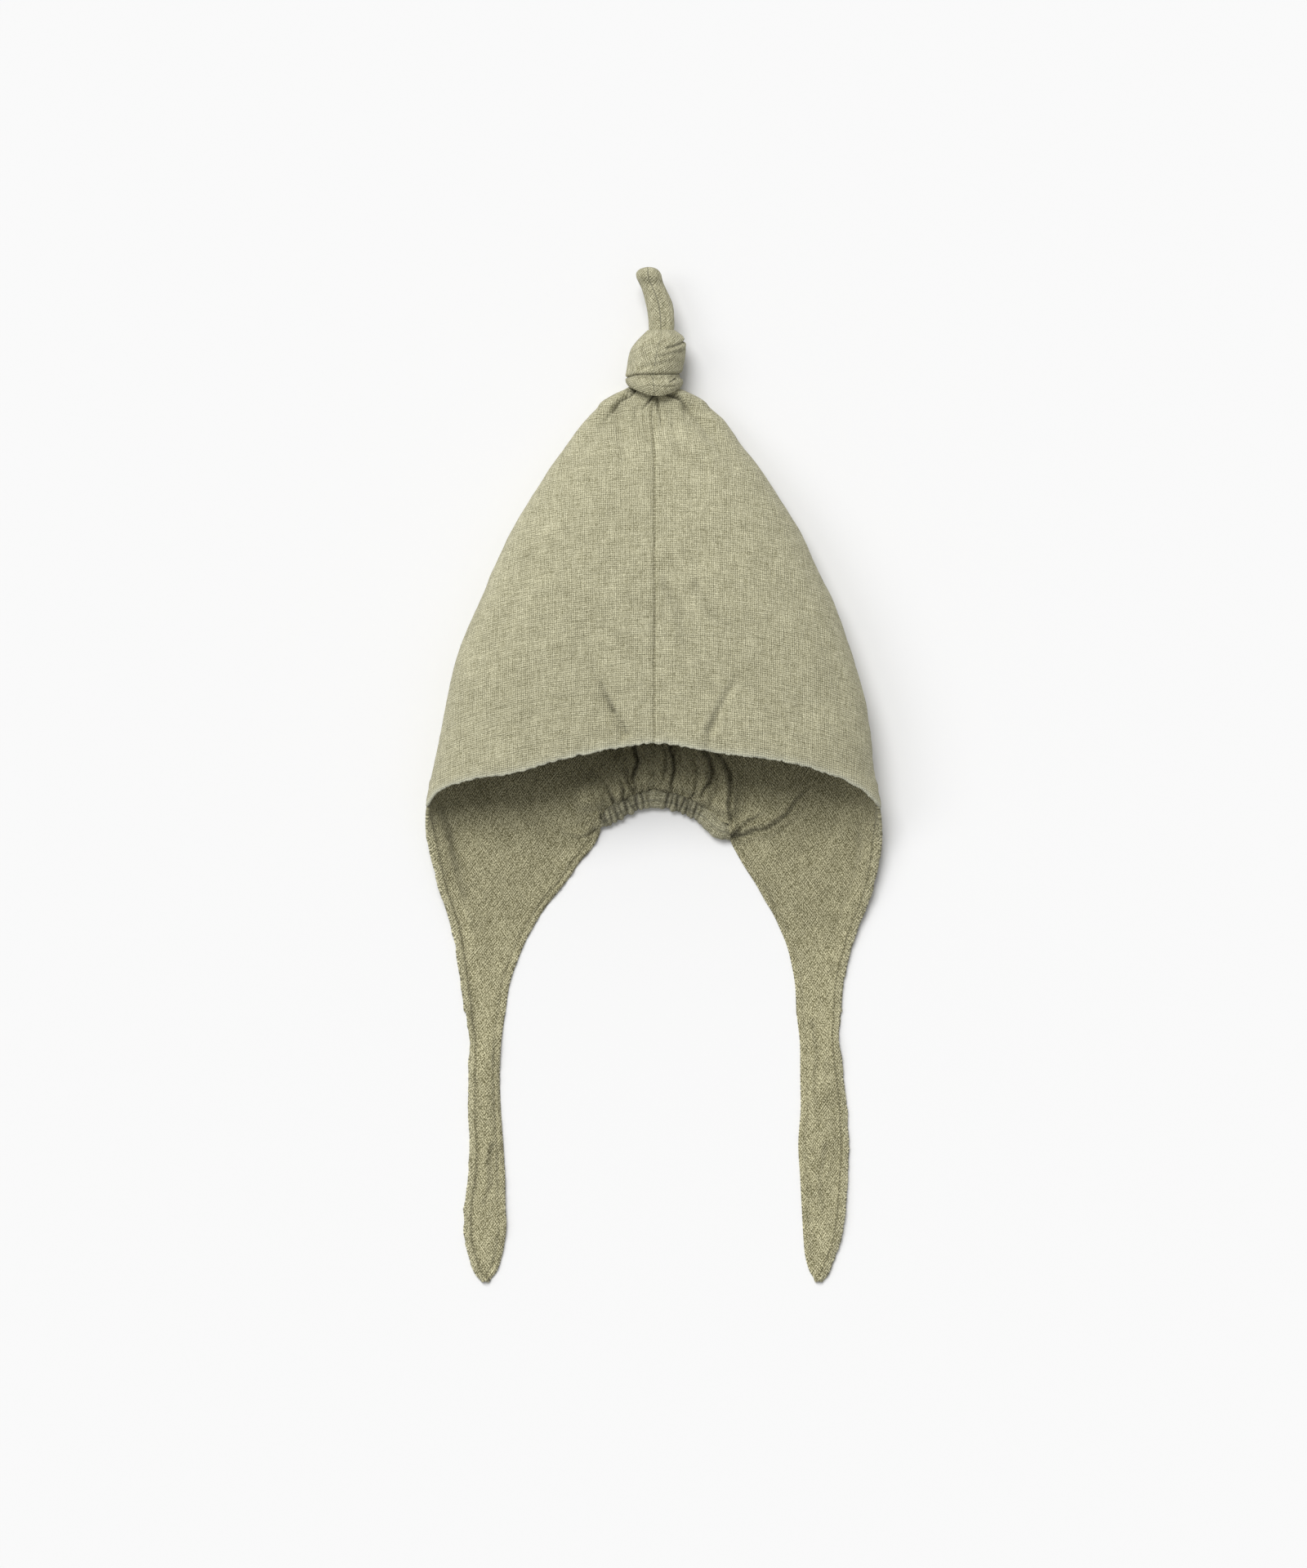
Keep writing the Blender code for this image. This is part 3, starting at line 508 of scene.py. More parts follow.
def crease_rise(creases, x, y, lift=0.38, sink=1.38, floor_power=2.0):
    """Height that creases add at places in metres, and the shade painted into the cloth's colour down in
    them.

    lift, sink: rise of the flanks and fall of the valley, as shares of a crease's depth.
    floor_power: 2 for a round floor of the valley, less for a sharper one.
    """
    total = np.zeros(np.shape(x))
    light = np.ones(np.shape(x))
    place = stacked(x, y) / MM
    for crease in creases:
        nearest = np.full(total.shape, np.inf)
        strength = np.zeros(total.shape)
        signed = np.zeros(total.shape)
        count = len(crease.points) - 1
        for step, (start, end) in enumerate(zip(crease.points, crease.points[1:])):
            run = np.subtract(end, start)
            offset = place - start
            share = np.clip(offset @ run / (run @ run), 0, 1)
            away = np.linalg.norm(offset - share[..., None] * run, axis=-1)
            to_left = offset @ np.array([-run[1], run[0]]) / np.linalg.norm(run)
            closer = away < nearest
            signed = np.where(closer, to_left, signed)
            nearest = np.where(closer, away, nearest)
            strength = np.where(closer, mix(crease.start, crease.end, (step + share) / count), strength)
        valley = np.exp(-((nearest / crease.width) ** floor_power))
        flank = bell(nearest, 2.6 * crease.width)
        total += crease.depth * strength * (lift * flank - sink * valley) * MM
        drop = 0.5 * np.tanh(1.5 * signed / crease.width) * bell(nearest, 6 * crease.width)
        total += crease.step * strength * drop * MM
        # Painted shade: the crease's valley is darkened in the colour
        light *= 1 - crease.shade * np.minimum(strength, 1) * bell(nearest, 0.85 * crease.width)
    return total, light


def top_share(up, stretch):
    """0 to 1 over the hood's last stretch, a share of its length, up to the knot."""
    return ease(1 - (1 - up) / stretch)


def half_width(side, up):
    body = HALF_WIDTH * read(HOOD_SECTIONS, hand(side), up)
    return mix(body, NECK_HALF_WIDTH, top_share(up, NECK_FLARE))


def top_height(up):
    body = PUFF_HEIGHT * read(HOOD_SECTIONS, "height", up)
    return mix(body, NECK_HEIGHT, top_share(up, NECK_SLOPE))


def fold_height(up):
    return mix(SIDE_FOLD_HEIGHT, NECK_MIDDLE, top_share(up, FOLD_SLOPE))


def foot_y(z):
    """Lower face of the knot, which leans over the front of the neck."""
    return HOOD_LENGTH - FOOT_SLOPE * (z - NECK_MIDDLE)


def lay_up(up, z):
    """Place of the hood's cloth up from the corners: its top follows the knot's foot and tucks under it."""
    lean = (foot_y(z) - HOOD_LENGTH) * top_share(up, FOOT_LEAN)
    return up * HOOD_LENGTH + lean + TUCK_RISE * top_share(up, TUCK_STRETCH)


def casing_reach(side):
    return CASING_SPAN * (CASING_LEFT_SHARE if side == LEFT else 1 - CASING_LEFT_SHARE)


def nape_y(side, x):
    """Middle of the casing at a distance from the centre."""
    out = np.minimum(np.abs(x) / casing_reach(side), 1.0)
    return NAPE_RISE - NAPE_DROP * read(NAPE_LINE, hand(side), out)


def nape_line(x):
    """Middle of the casing at places on both sides of the centre."""
    return np.where(x < 0, nape_y(LEFT, x), nape_y(RIGHT, x))


def root_up(side, out):
    """Lower end of the back, as a share of HOOD_LENGTH, from the corner in to the casing."""
    wide = half_width(side, 0)
    stand = CASING_HEIGHT / 2
    corner = read(FRONT_EDGE, hand(side), 1.0)
    inner = (nape_y(side, casing_reach(side)) + stand) / HOOD_LENGTH
    reach = casing_reach(side) / wide
    outside = mix(inner, corner, (out - reach) / (1 - reach))
    inside = (nape_y(side, out * wide) + stand) / HOOD_LENGTH
    return np.where(out >= reach, outside, inside)


def front_skin(side, turn, rise):
    """Front of the hood. turn runs 0 to 1 from the seam to the side, rise 0 to 1 from the edge up."""
    angle = (1 - turn) * math.pi / 2
    out = np.where(turn > 0, np.maximum(np.cos(angle), 0) ** (2 / ARCH_POWER), 0.0)
    crown = np.where(turn < 1, np.maximum(np.sin(angle), 0) ** (2 / ARCH_POWER), 0.0)
    up = mix(read(FRONT_EDGE, hand(side), out), 1.0, rise)
    z = mix(fold_height(up), top_height(up), crown)
    y = lay_up(up, z)
    wander = read(SEAM_LINE, "across", y / MM) * MM * (1 - out) ** 3
    return stacked(side * mix(SEAM_GAP / 2, half_width(side, up), out) + wander, y, z)


def back_skin(side, turn, rise):
    """Back of the hood. turn: 0 to 0.5 round the side fold, 1 at the casing's end, 2 at the middle."""
    reach = casing_reach(side) / half_width(side, 0)
    flat = 1 - SIDE_FOLD_SHARE
    angle = np.minimum(turn, 0.5) * math.pi
    round_out = flat + SIDE_FOLD_SHARE * np.cos(angle)
    flat_out = np.where(turn <= 1, mix(flat, reach, (turn - 0.5) * 2), reach * (2 - turn))
    out = np.where(turn <= 0.5, round_out, flat_out)
    up = mix(root_up(side, out), 1.0, rise)
    z = (1 - np.sin(angle)) * fold_height(up)
    return stacked(side * half_width(side, up) * out, lay_up(up, z), z)


def tie_span(side, down):
    """Width and middle of a tie at a share of its length."""
    width = TIE_WIDTH * read(TIE_SECTIONS, hand(side) + "_width", down)
    return width, TIE_PLACE + TIE_WIDTH * read(TIE_SECTIONS, hand(side) + "_middle", down)


def flap_skin(side, turn, down):
    """Ear flap, which runs on from the back below the corner. turn as in back_skin, up to 1.

    At the corner the outer edge is still the round side fold. It opens within the first sixth to a rim
    that stands up a little, and lies flat at the tie.
    """
    width, middle = tie_span(side, 0)
    outer_share = read(FLAP_SECTIONS, hand(side) + "_outer", down)
    inner_share = read(FLAP_SECTIONS, hand(side) + "_inner", down)
    outer = mix(half_width(side, 0), middle + width / 2, outer_share)
    inner = mix(casing_reach(side), middle - width / 2, inner_share)
    outer_y = mix(root_up(side, 1.0) * HOOD_LENGTH, -FLAP_LENGTH, down)
    start_y = nape_y(side, casing_reach(side))
    step = FLAP_SECTIONS[1].down
    stand = CASING_HEIGHT / 2
    beside = start_y + stand * (1 - 2 * down / step)
    below = mix(start_y - stand, -FLAP_LENGTH, (down - step) / (1 - step))
    inner_y = np.where(down <= step, beside, below)
    rim = SIDE_FOLD_HEIGHT * read(FLAP_SECTIONS, "rim", down)
    curl = mix(SIDE_FOLD_SHARE * half_width(side, 0), width * CURL_SHARE, ease(down * 1.2))
    flat_at = outer - curl
    angle = np.minimum(turn, 0.5) * math.pi
    opened = ease(down * 6)
    even = opened * ease((0.9 - down) * 2)
    x_round = flat_at + curl * mix(np.cos(angle), 1 - angle / (math.pi / 2), even)
    x_flat = mix(flat_at, inner, (turn - 0.5) * 2)
    x = np.where(turn <= 0.5, x_round, x_flat)
    band = np.clip(1 - (outer - x) / BAND_WIDTH, 0, 1)
    z = mix(rim * (1 - np.sin(angle)), RIM_SHARE * rim * (1 - (1 - band) ** 1.6), opened)
    y = mix(outer_y, inner_y, (outer - x) / (outer - inner))
    return stacked(side * x, y, z)


def tie_skin(side, turn, down):
    """Tie, which runs on from the flap. turn as in flap_skin."""
    width, middle = tie_span(side, down)
    angle = np.minimum(turn, 0.5) * math.pi
    across = np.where(turn <= 0.5, CURL_SHARE * (1 - np.cos(angle)), mix(CURL_SHARE, 1.0, (turn - 0.5) * 2))
    lift = TIE_LIFT * read(TIE_SECTIONS, "lift", down) * np.sin(math.pi * across)
    roll = TIE_LIFT * read(TIE_SECTIONS, "roll", down) * side
    tilt = np.abs(roll) * np.where(roll > 0, 1 - across, across)
    root = SIDE_FOLD_HEIGHT * FLAP_SECTIONS[-1].rim * (1 - np.sin(angle))
    z = mix(root, np.maximum(lift, 0) + tilt, ease(down * 6))
    inset = 1.0 * MM * ease(down * 8)
    x = middle + (width - inset) * (0.5 - across) + 0.2 * MM
    return stacked(side * x, -FLAP_LENGTH - down * (TIE_LENGTH - 0.5 * MM), z)


def even_turns(count):
    """Turns that part the front's section into equal lengths."""
    turn = np.linspace(0, 1, 4001)
    section = front_skin(RIGHT, turn, 0.1)[:, (0, 2)]
    walked = walk(section, 0)
    return np.interp(np.linspace(0, walked[-1], count + 1), walked, turn)


def hood_rises():
    """Rows from the lower edge up: fine over the hem and gathers, and again under the knot."""
    low = FINE_STRETCH / HOOD_LENGTH
    high = 1 - TOP_STRETCH / HOOD_LENGTH
    stretches = ((0, low, FINE_ROWS), (low, high, COARSE_ROWS), (high, 1, TOP_ROWS))
    parts = [np.linspace(start, end, count + 1)[1:] for start, end, count in stretches]
    return np.concatenate([[0.0], *parts])


def grid_normals(points, faces):
    corners = points[faces]
    across = np.cross(corners[:, 2] - corners[:, 0], corners[:, 3] - corners[:, 1])
    normals = np.zeros(points.shape)
    for k in range(4):
        np.add.at(normals, faces[:, k], across)
    return normals / np.maximum(np.linalg.norm(normals, axis=1, keepdims=True), 1e-12)


def grid_quads(numbers):
    """Quads of a grid of point numbers, turned so that rows going up face the viewer at the front."""
    quads = [numbers[:-1, :-1], numbers[:-1, 1:], numbers[1:, 1:], numbers[1:, :-1]]
    return np.stack(quads, axis=-1).reshape(-1, 4)


def rim_edges(faces):
    """Edges that only one face uses, in that face's own direction."""
    starts = faces.reshape(-1)
    ends = np.roll(faces, -1, axis=1).reshape(-1)
    size = faces.max() + 1
    alone = ~np.isin(starts * size + ends, ends * size + starts)
    return starts[alone], ends[alone]


def add_object(name, data):
    item = bpy.data.objects.new(name, data)
    bpy.context.scene.collection.objects.link(item)
    return item


def make_mesh(name, points, faces, maps, material):
    """Mesh object with one or more UV maps, whose values are given per point."""
    mesh = bpy.data.meshes.new(name)
    mesh.vertices.add(len(points))
    mesh.vertices.foreach_set("co", np.asarray(points + SHIFT, np.float32).ravel())
    mesh.loops.add(faces.size)
    mesh.loops.foreach_set("vertex_index", faces.ravel().astype(np.int32))
    mesh.polygons.add(len(faces))
    mesh.polygons.foreach_set("loop_start", np.arange(0, faces.size, faces.shape[1], dtype=np.int32))
    mesh.update(calc_edges=True)
    for title, values in maps.items():
        layer = mesh.uv_layers.new(name=title)
        layer.uv.foreach_set("vector", values[faces.ravel()].astype(np.float32).ravel())
    mesh.validate()
    mesh.shade_smooth()
    mesh.materials.append(material)
    return add_object(name, mesh)


def cloth_wall(skin, faces, walls, rise, maps, flat_points):
    """Closed cloth behind a skin. rise moves both of its faces alike.

    Free edges are rounded, but those between points in flat_points stay flat, where two panels meet.
    The points of the outer face come first, then those of the inner face, then the rounded edges.
    """
    normals = grid_normals(skin, faces)
    outer = skin + rise
    inner = skin - normals * walls[:, None] + rise
    count = len(skin)
    starts, ends = rim_edges(faces)
    tangent = np.zeros(skin.shape)
    np.add.at(tangent, starts, outer[ends] - outer[starts])
    np.add.at(tangent, ends, outer[ends] - outer[starts])
    rim = np.unique(np.concatenate([starts, ends]))
    outward = np.cross(tangent[rim], normals[rim])
    outward /= np.maximum(np.linalg.norm(outward, axis=1, keepdims=True), 1e-12)
    middle = (outer[rim] + inner[rim]) / 2
    half = walls[rim, None] / 2
    flat = np.isin(starts, flat_points) & np.isin(ends, flat_points)
    on_flat = np.isin(rim, np.concatenate([starts[flat], ends[flat]]))
    fullness = np.where(on_flat, 0.0, 0.8)[:, None]
    number = np.full(count, -1)
    number[rim] = np.arange(len(rim))
    points = [outer, inner]
    chain = [(starts, ends)]
    for ring, angle in enumerate(np.radians((45, 90, 135))):
        bow = np.cos(angle) * normals[rim] + fullness * np.sin(angle) * outward
        points.append(middle + half * bow)
        base = 2 * count + ring * len(rim)
        chain.append((number[starts] + base, number[ends] + base))
    chain.append((starts + count, ends + count))
    quads = [faces, faces[:, ::-1] + count]
    for (a, b), (c, d) in zip(chain, chain[1:]):
        quads.append(np.stack([b, a, c, d], axis=1))
    full_maps = {title: np.concatenate([v, v] + [v[rim]] * 3) for title, v in maps.items()}
    return np.concatenate(points), np.concatenate(quads), full_maps


def bend_grain(u, y):
    """Height along the warp: the weft sags more the further it is from the seam."""
    near = np.minimum(u, HALF_WIDTH)
    return y + GRAIN_BEND * (near**2 + 2 * HALF_WIDTH * np.maximum(u - HALF_WIDTH, 0))


def fold_over(side, x, y):
    """Place on the flat cut of points of the back: mirrored over the hood's slanting side.

    x counts from the middle out, on either side.
    """
    corner = np.array([half_width(side, 0), 0.0])
    along = np.array([-math.sin(GRAIN_TURN), math.cos(GRAIN_TURN)])
    offset = stacked(x, y) - corner
    mirrored = 2 * (offset @ along)[..., None] * along - offset + corner
    return mirrored[..., 0], mirrored[..., 1]


def above_casing(x, y):
    """Distance above the casing's upper edge, in millimetres."""
    return (y - (nape_line(x) + CASING_HEIGHT / 2)) / MM


def nape_puff(x, y):
    """Cloth that the elastic bunches up above the casing."""
    across = ease((x / MM + 38) / 10) * ease((41 - x / MM) / 8)
    above = above_casing(x, y)
    swell = mix(0.45, 1.0, ease(above / 6)) * bell(np.maximum(above - 9, 0), 18)
    return NAPE_PUFF * across * swell * ease((above + 9) / 9)


def back_rise(x, y):
    """Height that the gathers and creases add to the back and the flaps, and the shade painted in their
    valleys and above the casing.
    """
    puff = nape_puff(x, y)
    share = np.clip(puff / (4.0 * MM), 0, 1)
    gathers, shade = crease_rise(NAPE_CREASES, x, y, 0.5, 1.5, 1.25)
    gathers += noise(stacked(x, 0.3 * y, 0.0), 4.2 * MM, 51) * 2.0 * MM
    # Painted shade in the gathers' valleys, less where the puff is low
    shade = mix(1, shade, 0.62)
    folds, fold_shade = crease_rise(FLAP_CREASES, x, y, 1.0, 1.2)
    right_bulge = bell(x / MM - 50, 12) * bell(y / MM + 1, 8)
    left_bulge = bell(x / MM + 34, 8) * bell(y / MM, 9)
    # Groove just above the casing: sunk, and darkened with painted shade
    beside_casing = (np.abs(x / MM - 1) < 23) * bell(above_casing(x, y) + 0.4, 0.9)
    total = puff + gathers * share + folds + (2.6 * (right_bulge + left_bulge) - 1.6 * beside_casing) * MM
    return np.maximum(total, -0.2 * MM), mix(1, shade, share) * fold_shade * (1 - 0.55 * beside_casing)


class PanelGrid:
    """One half of the hood with its flap and tie, before its folds and hems.

    The hood is a grid from the front seam round the side fold to the middle of the back. The strip is
    a grid from the back's lower row down the flap and the tie.
    """

    def __init__(self, side):
        self.side = side
        rises = hood_rises()[:, None]
        fronts = even_turns(FRONT_COLUMNS)[None, :-1]
        folds = 0.5 * (np.arange(FOLD_COLUMNS) / FOLD_COLUMNS) ** 1.25
        flats = 0.5 + 0.5 * np.arange(FLAT_COLUMNS) / FLAT_COLUMNS
        gathers = 1 + np.linspace(0, 1, GATHER_COLUMNS + 1)
        self.turns = np.concatenate([folds, flats, gathers])[None, :]
        strip_turns = self.turns[:, :FOLD_COLUMNS + FLAT_COLUMNS + 1]
        flap_downs = np.linspace(0, 1, FLAP_ROWS + 1)[1:, None]
        tie_downs = (1 - (1 - np.linspace(0, 1, TIE_ROWS + 1)) ** 1.15)[1:, None]

        front = front_skin(side, fronts, rises)
        self.hood = np.concatenate([front, back_skin(side, self.turns, rises)], axis=1)
        root = slice(FRONT_COLUMNS, FRONT_COLUMNS + strip_turns.size)
        flap = flap_skin(side, strip_turns, flap_downs)
        tie = tie_skin(side, strip_turns, tie_downs)
        self.strip = np.concatenate([self.hood[:1, root], flap, tie])
        self.skin = np.concatenate([self.hood.reshape(-1, 3), self.strip[1:].reshape(-1, 3)])

        rows_up, columns = self.hood.shape[:2]
        self.hood_numbers = np.arange(rows_up * columns).reshape(rows_up, columns)
        below = np.arange(rows_up * columns, len(self.skin)).reshape(-1, strip_turns.size)
        self.strip_numbers = np.concatenate([self.hood_numbers[:1, root], below])
        self.front_points = self.hood_numbers[:, :FRONT_COLUMNS].ravel()
        self.back_points = self.hood_numbers[:, FRONT_COLUMNS:].ravel()
        self.strip_points = self.strip_numbers.ravel()
        self.is_front = np.zeros(len(self.skin), bool)
        self.is_front[self.front_points] = True

        hood_faces = grid_quads(self.hood_numbers[:, ::side])
        self.faces = np.concatenate([hood_faces, grid_quads(self.strip_numbers[::-1, ::side])])
        self.normals = grid_normals(self.skin, self.faces)
        self.from_outer = walk(self.strip, 1)
        self.up_from_edge = walk(self.hood, 0)
        self.measure_edge()

    def measure_edge(self):
        """Distance of every point from the hemmed edge, and how far along the edge it lies."""
        self.edge = np.full(len(self.skin), 1.0)
        self.along = np.zeros(len(self.skin))
        self.edge[self.front_points] = self.up_from_edge[:, :FRONT_COLUMNS].ravel()
        self.edge[self.strip_points] = self.from_outer.ravel()
        near = slice(FRONT_COLUMNS, FRONT_COLUMNS + CORNER_COLUMNS)
        corner = self.hood_numbers[:, near].ravel()
        distance = np.hypot(self.up_from_edge[:, near] * 0.3, walk(self.hood[:, near], 1)).ravel()
        self.edge[corner] = np.minimum(self.edge[corner], distance)
        self.along[self.hood_numbers.ravel()] = walk(self.hood, 1).ravel()
        run = walk(self.strip, 0)[:, :1] + self.along[self.hood_numbers[0, FRONT_COLUMNS]]
        self.along[self.strip_points] = np.broadcast_to(run, self.from_outer.shape).ravel()


def hem_profile(distance):
    """Thickness of the cloth and depth of the stitch line, by distance from a hemmed edge."""
    wall = mix(HEM_WALL, WALL, between(distance - HEM_WIDTH, -0.3, 0.4))
    return wall, 0.45 * MM * bell(distance - STITCH_LINE, 0.45 * MM)


def strip_relief(grid, look):
    """Height that the hems and soft waves add to the flap and the tie, with painted shade in the bead's
    trough and the valley beside the rim, and a painted highlight on the rim.
    """
    y = grid.strip[..., 1]
    from_outer = grid.from_outer
    from_inner = from_outer[:, -1:] - from_outer
    bead_height = mix(look.bead_low, look.bead_high, between(y, -60, -30))
    bead = bell(from_inner - 1.0 * MM, 0.9 * MM)
    trough = bell(from_inner - 2.8 * MM, 0.6 * MM)
    rope = noise(grid.strip, 2.2 * MM, 9) * bell(from_inner, 1.9 * MM)
    wave = 0.32 * noise(grid.strip, 7 * MM, 13) * between(from_inner, 0, 4) * between(from_outer, 0, 4)
    height = (bead_height * (bead - 0.45 * trough + 0.6 * rope) + wave) * MM

    valley = bell(from_outer - 11.5 * MM, 2.2 * MM) * between(y, -52, -27)
    rim = between(BAND_WIDTH - from_outer, 0, 2.5) * between(y, -90, -40)
    # Painted highlight on the left flap's rim band
    glow = look.glow * rim * between(walk(grid.strip, 0), 0, 9)
    # Painted shade in the bead's trough and in the valley beside the rim
    shade = 1 - 0.4 * np.minimum(bead_height, 1) * trough
    return height, shade * (1 - look.valley_shade * valley) * (1 + glow)


def panel_relief(grid, look, groove):
    """How the folds, hems and crumple move every point of a panel, and the shade painted into its colour.
    """
    skin = grid.skin
    x, y, z = skin.T
    front_lift, front_shade = crease_rise(FRONT_CREASES, x, y)
    back_lift, back_shade = back_rise(x, y)
    tie_lift, tie_shade = crease_rise(TIE_CREASES, x, y, 1.0, 1.2)
    strip_lift, strip_shade = strip_relief(grid, look)
    shade = np.where(grid.is_front, front_shade, back_shade * tie_shade)
    shade[grid.strip_points] *= strip_shade.ravel()
    rise = np.zeros(skin.shape)
    rise[:, 2] = np.where(grid.is_front, 0.0, back_lift + tie_lift)
    rise[grid.strip_points, 2] += strip_lift.ravel()

    bumps = crumple(skin, look.seed)
    calm = bumps * (between(HOOD_LENGTH - y, 0, 14) * 0.8 + 0.2)
    soft = (bumps + 0.3 * MM) * mix(0.35, 0.8, between(z, 0, 3)) * 0.8
    inside = np.ones(len(skin))
    turned = mix(1.0, ease(grid.turns / 0.3), between(grid.up_from_edge[:, FRONT_COLUMNS:], 0, 6))
    inside[grid.back_points] = turned.ravel()
    seam_dip = 0.5 * MM * bell(x, 0.9 * MM)
    front_out = calm + front_lift - seam_dip
    rise += grid.normals * np.where(grid.is_front, front_out, mix(calm, -soft, inside) + groove)[:, None]

    wobble = (0.30 * noise(skin, 5 * MM, 21) + 0.34 * noise(skin, 1.5 * MM, 23)) * MM
    wobble *= bell(grid.edge, 3 * MM)
    ragged = 0.55 * MM * noise(skin, 1.25 * MM, 27) * np.exp(-grid.edge / (0.8 * MM))
    rise[:, 0] += wobble * between(-y, 4, 16) * ~grid.is_front
    rise[:, 1] += (wobble * 0.8 + ragged) * grid.is_front
    return rise, shade


def panel_maps(grid, look, shade):
    """Maps of a panel: its place on the flat cut, its place by the hem, and its tone with painted shade and
    highlight.
    """
    hood, strip = grid.hood, grid.strip
    across = walk(hood, 1)
    extra = across[:, FRONT_COLUMNS] - np.abs(hood[:, FRONT_COLUMNS, 0])
    u, v = np.zeros((2, len(grid.skin)))
    u[grid.front_points] = across[:, :FRONT_COLUMNS].ravel()
    v[grid.front_points] = hood[:, :FRONT_COLUMNS, 1].ravel()
    back = (hood[:, FRONT_COLUMNS:], grid.back_points, extra[:, None])
    for part, points, added in (back, (strip, grid.strip_points, extra[0])):
        flat_x, flat_y = fold_over(grid.side, np.abs(part[:, :1, 0]) - walk(part, 1), part[..., 1])
        u[points] = (flat_x + added).ravel()
        v[points] = flat_y.ravel()
    # Lining painted darker near the hood, as the hood's shadow on the flap, up to TIE_TONE on the tie
    lining_tone = mix(look.flap_tone, TIE_TONE, between(-grid.skin[:, 1], 30, 90))
    # The front's tone is a little lighter on the right: painted light
    tone = np.where(grid.is_front, look.front_tone, lining_tone) * shade
    return {
        "Grain": stacked(u * grid.side, bend_grain(u, v)),
        "Edge": stacked(grid.along, grid.edge),
        "Tone": stacked(tone, np.where(grid.is_front, OUTSIDE, LINING)),
    }


def crown_panel(side, material):
    """One half of the hood with its ear flap, and the tie that runs on from it, and its stitch line."""
    grid = PanelGrid(side)
    look = LOOKS[side]
    wall, groove = hem_profile(grid.edge)
    wall = np.where(grid.is_front, np.minimum(wall, FRONT_WALL), wall)
    rise, shade = panel_relief(grid, look, groove)
    maps = panel_maps(grid, look, shade)
    middle = grid.hood_numbers[:, -1]
    points, quads, maps = cloth_wall(grid.skin, grid.faces, wall, rise, maps, middle)
    points[:, 2] = np.maximum(points[:, 2], FLOOR_GAP)
    # The maps so far are those of the faces in view. The back's underside and the front's inside are plain
    count = len(grid.skin)
    maps["Tone"][:count][~grid.is_front] = (1.0, OUTSIDE)
    maps["Tone"][count:2 * count][grid.is_front] = (0.95, LINING)
    return make_mesh("panel_" + hand(side), points, quads, maps, material), stitch_line(grid, rise)


def stitch_line(grid, rise):
    """Points of the hem's stitch line down the flap and the tie, and the way that they face."""
    moved = grid.skin + rise
    places = []
    facing = []
    for line in grid.strip_numbers[3:-4]:
        column = np.interp(STITCH_LINE, grid.edge[line], np.arange(len(line)))
        low = int(column)
        up = -grid.normals[line[low]]
        places.append(mix(moved[line[low]], moved[line[low + 1]], column - low) + up * HEM_WALL * 0.82)
        facing.append(up)
    return np.array(places), np.array(facing)


def tube_numbers(count, sides):
    """Point numbers of a tube's rings, each closed by its first point."""
    numbers = np.arange(count * sides).reshape(count, sides)
    return np.concatenate([numbers, numbers[:, :1]], axis=1)


def ring_angles(sides):
    return np.linspace(0, 2 * math.pi, sides, endpoint=False)[None, :]


def stitches_mesh(name, lines, material):
    """Thread stitches along lines on the cloth, each a small spindle half sunk in it."""
    along_share = np.linspace(-1, 1, STITCH_RINGS)
    thin = np.sqrt(np.maximum(1 - along_share**2, 0.04))
    angle = ring_angles(STITCH_SIDES).T
    numbers = tube_numbers(STITCH_RINGS, STITCH_SIDES)
    points = []
    for places, facing in lines:
        walked = walk(places, 0)
        stops = np.arange(STITCH_PITCH, walked[-1] - STITCH_PITCH, STITCH_PITCH)
        spots, ahead, ups = (
            np.stack([np.interp(at, walked, column) for column in values.T], axis=1)
            for values, at in ((places, stops), (places, stops + 0.5 * MM), (facing, stops))
        )
        for spot, front, up in zip(spots, ahead, ups):
            along = (front - spot) / np.linalg.norm(front - spot)
            up = up - along * (up @ along)
            up /= np.linalg.norm(up)
            circle = np.cos(angle) * np.cross(along, up) + np.sin(angle) * up
            middle = spot + up * 0.02 * MM
            for share, thickness in zip(along_share, thin):
                points.append(middle + along * share * STITCH_REACH + circle * THREAD_RADIUS * thickness)
    stitches = len(points) // STITCH_RINGS
    points = np.concatenate(points)
    faces = np.concatenate([grid_quads(numbers + k * STITCH_RINGS * STITCH_SIDES) for k in range(stitches)])
    return make_mesh(name, points, faces, {"Grain": points[:, :2]}, material)


def tube_mesh(name, rings, maps, material):
    """Closed tube from rings of points, with a small cap at each end."""
    count, sides = rings.shape[:2]
    numbers = tube_numbers(count, sides)
    hubs = count * sides, count * sides + 1
    caps = [(hubs[0], b, a) for a, b in zip(numbers[0, :-1], numbers[0, 1:])]
    caps += [(hubs[1], a, b) for a, b in zip(numbers[-1, :-1], numbers[-1, 1:])]
    points = np.concatenate([rings.reshape(-1, 3), rings[[0, -1]].mean(axis=1)])
    full = {title: np.concatenate([v.reshape(-1, 2), v[0, :1], v[-1, :1]]) for title, v in maps.items()}
    tube = make_mesh(name, points, grid_quads(numbers), full, material)
    add_caps(tube, caps, full)
    return tube


def add_caps(tube, caps, maps):
    """Adds the triangles of the end caps to a tube, with the map values of their points."""
    edit = bmesh.new()
    edit.from_mesh(tube.data)
    edit.verts.ensure_lookup_table()
    layers = [(edit.loops.layers.uv[title], values) for title, values in maps.items()]
    for cap in caps:
        face = edit.faces.new([edit.verts[corner] for corner in cap])
        face.smooth = True
        for corner, loop in zip(cap, face.loops):
            for layer, values in layers:
                loop[layer].uv = values[corner]
    bmesh.ops.recalc_face_normals(edit, faces=edit.faces)
    edit.to_mesh(tube.data)
    edit.free()


def tube_maps(around, tall, tone, lining=0.0, turn=0.0):
    """Maps of a tube whose threads run at an angle to its length."""
    around, tall, tone = np.broadcast_arrays(around, tall, tone)
    cosine, sine = math.cos(turn), math.sin(turn)
    grain = stacked(around * cosine + tall * sine, tall * cosine - around * sine)
    return {"Grain": grain, "Tone": stacked(tone, lining)}


